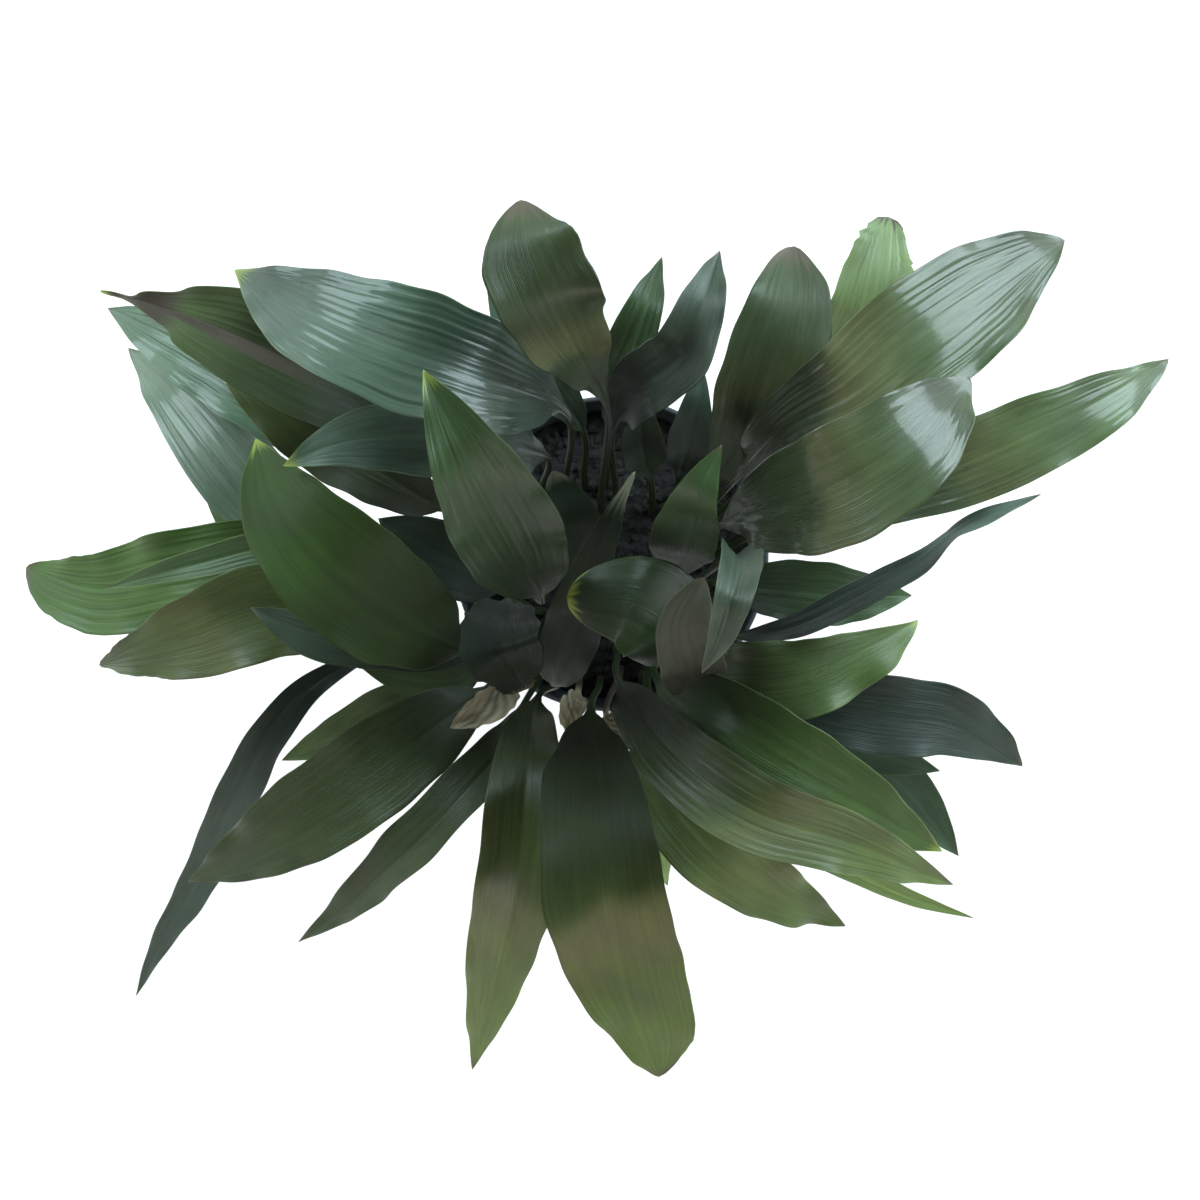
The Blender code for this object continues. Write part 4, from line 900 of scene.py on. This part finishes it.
class PLANT_OT_sheaths(bpy.types.Operator):
    """Build the withered papery sheaths"""
    bl_idname = "plant.sheaths"
    bl_label = "Build Dry Sheaths"

    def execute(self, context):
        green = context.scene.plant_leaf
        settings = context.scene.plant_dry
        material = paper_material("dry_paper")
        for index, (name, own) in enumerate(SHEATHS.items()):
            seed = 2000 + 20 * index
            grid = leaf_grid({**PLAIN, **WITHERED, **own}, seed, green)
            mottle = 1.0 + 0.35 * ripple(grid.s * 3.0 + grid.v, seed + 8, 4, 0.5, 2.0)
            tone = np.clip(np.array(settings.paper) * mottle[..., None], 0.0, 1.0)
            tone = with_relief(toward(tone, green.sheath, smooth_step(0.02, -0.2, grid.s)), 1.0)
            close_surface(name, "_paper", grid, tone, index * 5.1 + 400.0, material)
        return {"FINISHED"}


class PLANT_OT_old_stalks(bpy.types.Operator):
    """Build the bare old stalks"""
    bl_idname = "plant.old_stalks"
    bl_label = "Build Old Stalks"

    def execute(self, context):
        settings = context.scene.plant_dry
        material = paper_material("old_stalk_bark")
        for index, (name, (root, top)) in enumerate(OLD_STALKS.items()):
            seed = 3000 + 10 * index
            grid = stalk_grid(root, top, settings.stalk_radius, seed)
            mottle = 1.0 + 0.4 * ripple(grid.along * 60.0, seed, 4, 0.5, 2.0)
            tone = np.ones(grid.points.shape[:2]) * mottle
            tone = with_relief(np.clip(np.array(settings.stalk) * tone[..., None], 0, 1), 1.0)
            close_surface(name, "_bark", grid, tone, 600.0 + index, material)
        return {"FINISHED"}


def stalk_grid(root, top, radius, seed):
    """A thin bowed rod over (distance along, angle): its radius swells a little at two scars."""
    start = np.array([*root, SOIL_TOP - ROOT_DEPTH])
    stop = np.array(top)
    route = midline([start, start + (stop - start) * np.array([0.3, 0.3, 0.5]), stop])
    along = np.linspace(0.0, route.run[-1], 40)
    middle = at(route, along)
    share = along / route.run[-1]
    scars = 0.35 * np.exp(-((share - 0.35) / 0.03) ** 2) + 0.3 * np.exp(-((share - 0.75) / 0.03) ** 2)
    size = radius * (1.1 - 0.25 * share + scars * 0.4 + 0.06 * ripple(share * 6, seed, 4, 0.5, 2.0))
    turn = -np.linspace(0.0, 2.0 * np.pi, 16, endpoint=False)
    ring = np.stack([np.cos(turn), np.sin(turn), 0.0 * turn], axis=1)
    points = middle[:, None] + size[:, None, None] * ring[None]
    across = np.linspace(-1.0, 1.0, 16)[None, :]
    return Grid(points, middle[[0, -1]], along[:, None], share[:, None], across, 0.0, size[:, None])


class PLANT_OT_soil(bpy.types.Operator):
    """Build the compost and the bark crumbs on it"""
    bl_idname = "plant.soil"
    bl_label = "Build Compost"

    def execute(self, context):
        settings = context.scene.plant_soil
        earth = soil_material(settings, "compost_earth", tuple(settings.earth), 260.0)
        bark = soil_material(settings, "bark_crumb", tuple(settings.bark), 420.0)
        bed = soil_bed(settings, earth)
        stand_for(bed, "soil")
        crumbs = bark_crumbs(settings, bark)
        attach(crumbs, "root")
        return {"FINISHED"}


def bed_height(x, y, lump):
    """Height of the compost: a sum of seeded plane waves from coarse to fine, lower at the wall."""
    rng = np.random.default_rng(77)
    total = np.zeros_like(x)
    for size, share in ((0.060, 0.9), (0.028, 0.7), (0.014, 0.45), (0.007, 0.3)):
        for _ in range(7):
            heading = rng.uniform(0.0, 2.0 * np.pi)
            phase = rng.uniform(0.0, 2.0 * np.pi)
            pitch = 2.0 * np.pi / (size * rng.uniform(0.8, 1.25))
            total += share * np.sin(pitch * (x * np.cos(heading) + y * np.sin(heading)) + phase) / 4.0
    radius = np.hypot(x, y) / SOIL_RADIUS
    return SOIL_TOP + lump * total - 0.004 * smooth_step(0.86, 1.0, radius) + 0.002 * (1.0 - radius ** 2)


def soil_bed(settings, material):
    """Closed plug over (ring, angle): flat foot, tapered side and the uneven bed on top."""
    count = 192
    turn = np.linspace(0.0, 2.0 * np.pi, count, endpoint=False)
    foot = SOIL_LOW.z
    wall_slope = 0.139
    low_radius = SOIL_RADIUS - (SOIL_TOP - foot) * wall_slope
    radii = np.concatenate([[low_radius * 0.02, low_radius * 0.98, low_radius],
                            SOIL_RADIUS * np.linspace(1.0, 0.012, 74)])
    x = radii[:, None] * np.cos(turn)[None]
    y = radii[:, None] * np.sin(turn)[None]
    z = bed_height(x, y, settings.lump)
    z[0:2] = foot
    z[2] = foot + 0.002
    points = np.stack([x, y, z], axis=-1)
    top_middle = bed_height(np.zeros(1), np.zeros(1), settings.lump)[0]
    ends = np.array([[0.0, 0.0, foot], [0.0, 0.0, top_middle]])
    every = np.vstack([points.reshape(-1, 3), ends])
    return add_surface("compost_bed", every, ring_faces(len(radii), count), [], material)


def bark_crumbs(settings, material):
    """Bark crumbs: each a squashed, knobbly ball of 5 x 8 points, all worked out as one array."""
    rng = np.random.default_rng(5)
    number = settings.crumbs // 1
    spot = np.sqrt(rng.uniform(0.0, 1.0, number)) * (SOIL_RADIUS - 0.008)
    heading = rng.uniform(0.0, 2.0 * np.pi, number)
    cx, cy = spot * np.cos(heading), spot * np.sin(heading)
    size = rng.uniform(0.0012, 0.0046, number)
    stretch = [size * rng.uniform(0.9, 1.9, number), size, size * rng.uniform(0.35, 0.8, number)]
    stretch = np.stack(stretch, axis=-1)
    lat = np.linspace(0.0, np.pi, 7)[1:-1]
    lon = np.linspace(0.0, 2.0 * np.pi, 8, endpoint=False)
    ball = np.stack([np.sin(lat)[:, None] * np.cos(lon), np.sin(lat)[:, None] * np.sin(lon),
                     -np.cos(lat)[:, None] * np.ones_like(lon)], axis=-1).reshape(-1, 3)
    ball = np.vstack([ball, [0.0, 0.0, -1.0], [0.0, 0.0, 1.0]])
    knobs = 1.0 + rng.uniform(-0.22, 0.22, (number, len(ball), 1))
    shape = ball[None] * knobs * stretch[:, None]
    spin = rng.uniform(0.0, 2.0 * np.pi, number)
    c, s = np.cos(spin)[:, None], np.sin(spin)[:, None]
    turned = np.stack([shape[..., 0] * c - shape[..., 1] * s, shape[..., 0] * s + shape[..., 1] * c,
                       shape[..., 2]], axis=-1)
    base = bed_height(cx, cy, settings.lump) + stretch[:, 2] * 0.45
    points = turned + np.stack([cx, cy, base], axis=-1)[:, None]
    one = ring_faces(len(lat), len(lon))
    offsets = np.arange(number) * len(ball)
    faces = [[i + o for i in face] for o in offsets.tolist() for face in one]
    return add_surface("bark_crumbs", points.reshape(-1, 3), faces, [], material, smooth=False)


class PLANT_OT_pot(bpy.types.Operator):
    """Build the plain round pot"""
    bl_idname = "plant.pot"
    bl_label = "Build Pot"

    def execute(self, context):
        settings = context.scene.plant_pot
        pot = pot_shell(settings, pot_material(settings))
        cut_drains(pot)
        stand_for(pot, "pot")
        return {"FINISHED"}


def rounded(profile, radius, steps=5):
    """A profile (radius, height) with each inner corner replaced by a quadratic arc."""
    p = np.array(profile, float)
    made = [p[0]]
    for a, b, c in zip(p[:-2], p[1:-1], p[2:]):
        reach = min(radius, 0.45 * np.linalg.norm(b - a), 0.45 * np.linalg.norm(c - b))
        start = b + unit(a - b) * reach
        stop = b + unit(c - b) * reach
        t = np.linspace(0.0, 1.0, steps)[:, None]
        made += list((1 - t) ** 2 * start + 2 * t * (1 - t) * b + t ** 2 * stop)
    made.append(p[-1])
    return np.array(made)


def pot_shell(settings, material):
    """The pot over (profile step, angle): tapered wall, stepped collar, rolled lip, bore and floor."""
    count = 256
    wall, collar = settings.wall, settings.collar
    centre, recess, floor = 0.0006, 0.0005, 0.006
    under = POT_RADIUS - 0.005
    foot = POT_RADIUS - 0.038
    band = POT_RADIUS - 0.0012

    def outer(z):
        """Radius of the tapered wall at a height."""
        return foot + (under - foot) * z / (POT_TOP - collar)

    profile = [
        (centre, recess), (foot - 0.020, recess), (foot - 0.017, 0.0), (foot - 0.001, 0.0),
        (outer(0.004) + 0.0004, 0.0045), (outer(0.020), 0.020), (outer(0.021) - 0.0005, 0.0214),
        (outer(POT_TOP - collar - 0.001), POT_TOP - collar - 0.001),
        (band, POT_TOP - collar + 0.002), (band, POT_TOP - 0.0105),
        (POT_RADIUS, POT_TOP - 0.009), (POT_RADIUS, POT_TOP),
        (POT_RADIUS - wall, POT_TOP),
        (POT_RADIUS - wall, POT_TOP - collar + 0.004),
        (outer(POT_TOP - collar - 0.006) - wall, POT_TOP - collar - 0.006),
        (outer(floor) - wall, floor), (centre, floor),
    ]
    line = rounded(profile, 0.0022)
    turn = np.linspace(0.0, 2.0 * np.pi, count, endpoint=False)
    points = np.stack([line[:, 0:1] * np.cos(turn), line[:, 0:1] * np.sin(turn),
                       line[:, 1:2] * np.ones_like(turn)], axis=-1)
    ends = np.array([[0.0, 0.0, recess], [0.0, 0.0, floor]])
    every = np.vstack([points.reshape(-1, 3), ends])
    return add_surface("pot_shell", every, ring_faces(len(line), count), [], material)


def cut_drains(pot):
    """Six round drain holes through the floor, on a ring clear of its middle."""
    number, ring, radius, sides = 6, 0.074, 0.0055, 32
    low, high = -0.004, 0.010
    turn = np.linspace(0.0, 2.0 * np.pi, sides, endpoint=False)
    rings = [np.stack([radius * np.cos(turn), radius * np.sin(turn), np.full(sides, height)], axis=-1)
             for height in (low, high)]
    rod = np.vstack([*rings, [[0, 0, low], [0, 0, high]]])
    points, faces = [], []
    for k in range(number):
        angle = (k + 0.27) * 2.0 * np.pi / number
        faces += [[i + k * len(rod) for i in face] for face in ring_faces(2, sides)]
        points.append(rod + np.array([ring * np.cos(angle), ring * np.sin(angle), 0.0]))
    cutter = add_surface("drain_cutter", np.vstack(points), faces, [], pot.data.materials[0])
    cut = pot.modifiers.new("drains", "BOOLEAN")
    cut.operation = "DIFFERENCE"
    cut.solver = "EXACT"
    cut.object = cutter
    graph = bpy.context.evaluated_depsgraph_get()
    result = bpy.data.meshes.new_from_object(pot.evaluated_get(graph))
    pot.modifiers.remove(cut)
    pot.data = result
    bpy.data.objects.remove(cutter, do_unlink=True)
    sharp_corners(pot)


def sharp_corners(pot):
    """Smooth shading except across corners sharper than 35 degrees."""
    pot.data.polygons.foreach_set("use_smooth", np.full(len(pot.data.polygons), True))
    pot.data.set_sharp_from_angle(angle=np.radians(35.0))


class PLANT_OT_stage(bpy.types.Operator):
    """Set up the pale floor, the soft lights and the camera overhead"""
    bl_idname = "plant.stage"
    bl_label = "Build Studio"

    def execute(self, context):
        settings = context.scene.plant_studio
        add_floor(settings)
        add_lights(context.scene, settings)
        add_camera(context.scene, settings)
        context.scene.view_settings.view_transform = "Standard"
        return {"FINISHED"}


def add_floor(settings):
    """A wide flat floor, bright enough of itself that soft shadows stay faint."""
    material, tree, shader = new_material("studio_floor")
    shader.inputs["Base Color"].default_value = (*settings.floor, 1.0)
    shader.inputs["Roughness"].default_value = 0.9
    shader.inputs["Emission Color"].default_value = (1.0, 1.0, 1.0, 1.0)
    shader.inputs["Emission Strength"].default_value = 0.62
    reach = 12.0
    corners = [(-reach, -reach, 0.0), (reach, -reach, 0.0), (reach, reach, 0.0), (-reach, reach, 0.0)]
    points = np.array(corners) - [0.0, 0.0, 0.0006]
    add_surface("studio_floor", points, [[0, 1, 2, 3]], [], material, smooth=False)


def add_area(name, place, target, size, power, colour_value):
    """A soft rectangular light at a place, turned to face a target."""
    light = bpy.data.lights.new(name, "AREA")
    light.shape = "RECTANGLE"
    light.size, light.size_y = size
    light.energy = power
    light.color = colour_value
    lamp = bpy.data.objects.new(name, light)
    lamp.location = place
    lamp.rotation_euler = (Vector(target) - Vector(place)).to_track_quat("-Z", "Y").to_euler()
    bpy.context.scene.collection.objects.link(lamp)


def room_light(scene, strength):
    """The room's own light: dim overhead, brighter towards the horizon."""
    world = bpy.data.worlds.new("room")
    scene.world = world
    world.use_nodes = True
    tree = world.node_tree
    direction = node(tree, "ShaderNodeTexCoord").outputs["Generated"]
    height = node(tree, "ShaderNodeSeparateXYZ", {"Vector": direction}).outputs["Z"]
    ramp = node(tree, "ShaderNodeValToRGB", {"Fac": height})
    stops = ((0.0, 1.0), (0.20, 0.80), (0.50, 0.36), (0.80, 0.16), (1.0, 0.12))
    for place, _ in stops[1:-1]:
        ramp.color_ramp.elements.new(place)
    for stop, (place, value) in zip(ramp.color_ramp.elements, stops):
        stop.position = place
        stop.color = (value, value * 0.985, value * 0.93, 1.0)
    background = tree.nodes["Background"]
    tree.links.new(ramp.outputs["Color"], background.inputs["Color"])
    background.inputs["Strength"].default_value = strength


def add_lights(scene, settings):
    """Dim room light, three cool windows behind the plant and a weaker warm one in front."""
    room_light(scene, settings.fill)
    power = settings.window_power
    windows = (
        ("window_left", (-1.80, 1.40, 1.60), (-0.35, 0.17, 0.50), (1.7, 1.2), 1.05, (0.76, 0.93, 1.0)),
        ("window_back", (-0.50, 1.55, 2.15), (-0.10, 0.15, 0.60), (1.2, 1.0), 0.12, (0.84, 0.95, 1.0)),
        ("window_right", (1.95, 1.25, 1.50), (0.30, 0.20, 0.55), (1.6, 1.5), 1.55, (0.74, 0.92, 1.0)),
        ("room_front", (0.3, -2.4, 1.3), (0.0, -0.2, 0.4), (2.4, 0.8), 0.4, (1.0, 0.97, 0.88)),
    )
    for name, place, target, size, factor, light_colour in windows:
        add_area(name, place, target, size, power * factor, light_colour)


def add_camera(scene, settings):
    """A camera straight above, looking down with +Y up, 36 mm sensor."""
    data = bpy.data.cameras.new("overhead")
    data.sensor_width = 36.0
    data.lens = 46.875
    camera = bpy.data.objects.new("overhead", data)
    camera.location = (-0.0105, -0.044, settings.camera_height)
    scene.collection.objects.link(camera)
    scene.camera = camera


class PLANT_PT_panel(bpy.types.Panel):
    """The plant's steps, in the order they are built"""
    bl_label = "Cast Iron Plant"
    bl_idname = "PLANT_PT_panel"
    bl_space_type = "VIEW_3D"
    bl_region_type = "UI"
    bl_category = "Plant"

    def draw(self, context):
        for step in STEPS:
            self.layout.operator(step.bl_idname)


STEPS = (PLANT_OT_stage, PLANT_OT_pot, PLANT_OT_soil, PLANT_OT_leaves, PLANT_OT_sheaths, PLANT_OT_old_stalks)
POINTERS = {"plant_leaf": LeafSettings, "plant_dry": DrySettings, "plant_soil": SoilSettings,
            "plant_pot": PotSettings, "plant_studio": StudioSettings}


def register():
    for part in (*POINTERS.values(), *STEPS, PLANT_PT_panel):
        bpy.utils.register_class(part)
    for name, group in POINTERS.items():
        setattr(bpy.types.Scene, name, PointerProperty(type=group))


def unregister():
    for name in POINTERS:
        delattr(bpy.types.Scene, name)
    for part in reversed((*POINTERS.values(), *STEPS, PLANT_PT_panel)):
        bpy.utils.unregister_class(part)


def main():
    """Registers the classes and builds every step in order."""
    register()
    bpy.ops.plant.stage()
    bpy.ops.plant.pot()
    bpy.ops.plant.soil()
    bpy.ops.plant.leaves()
    bpy.ops.plant.sheaths()
    bpy.ops.plant.old_stalks()
    bpy.context.view_layer.update()


if __name__ == "__main__":
    main()
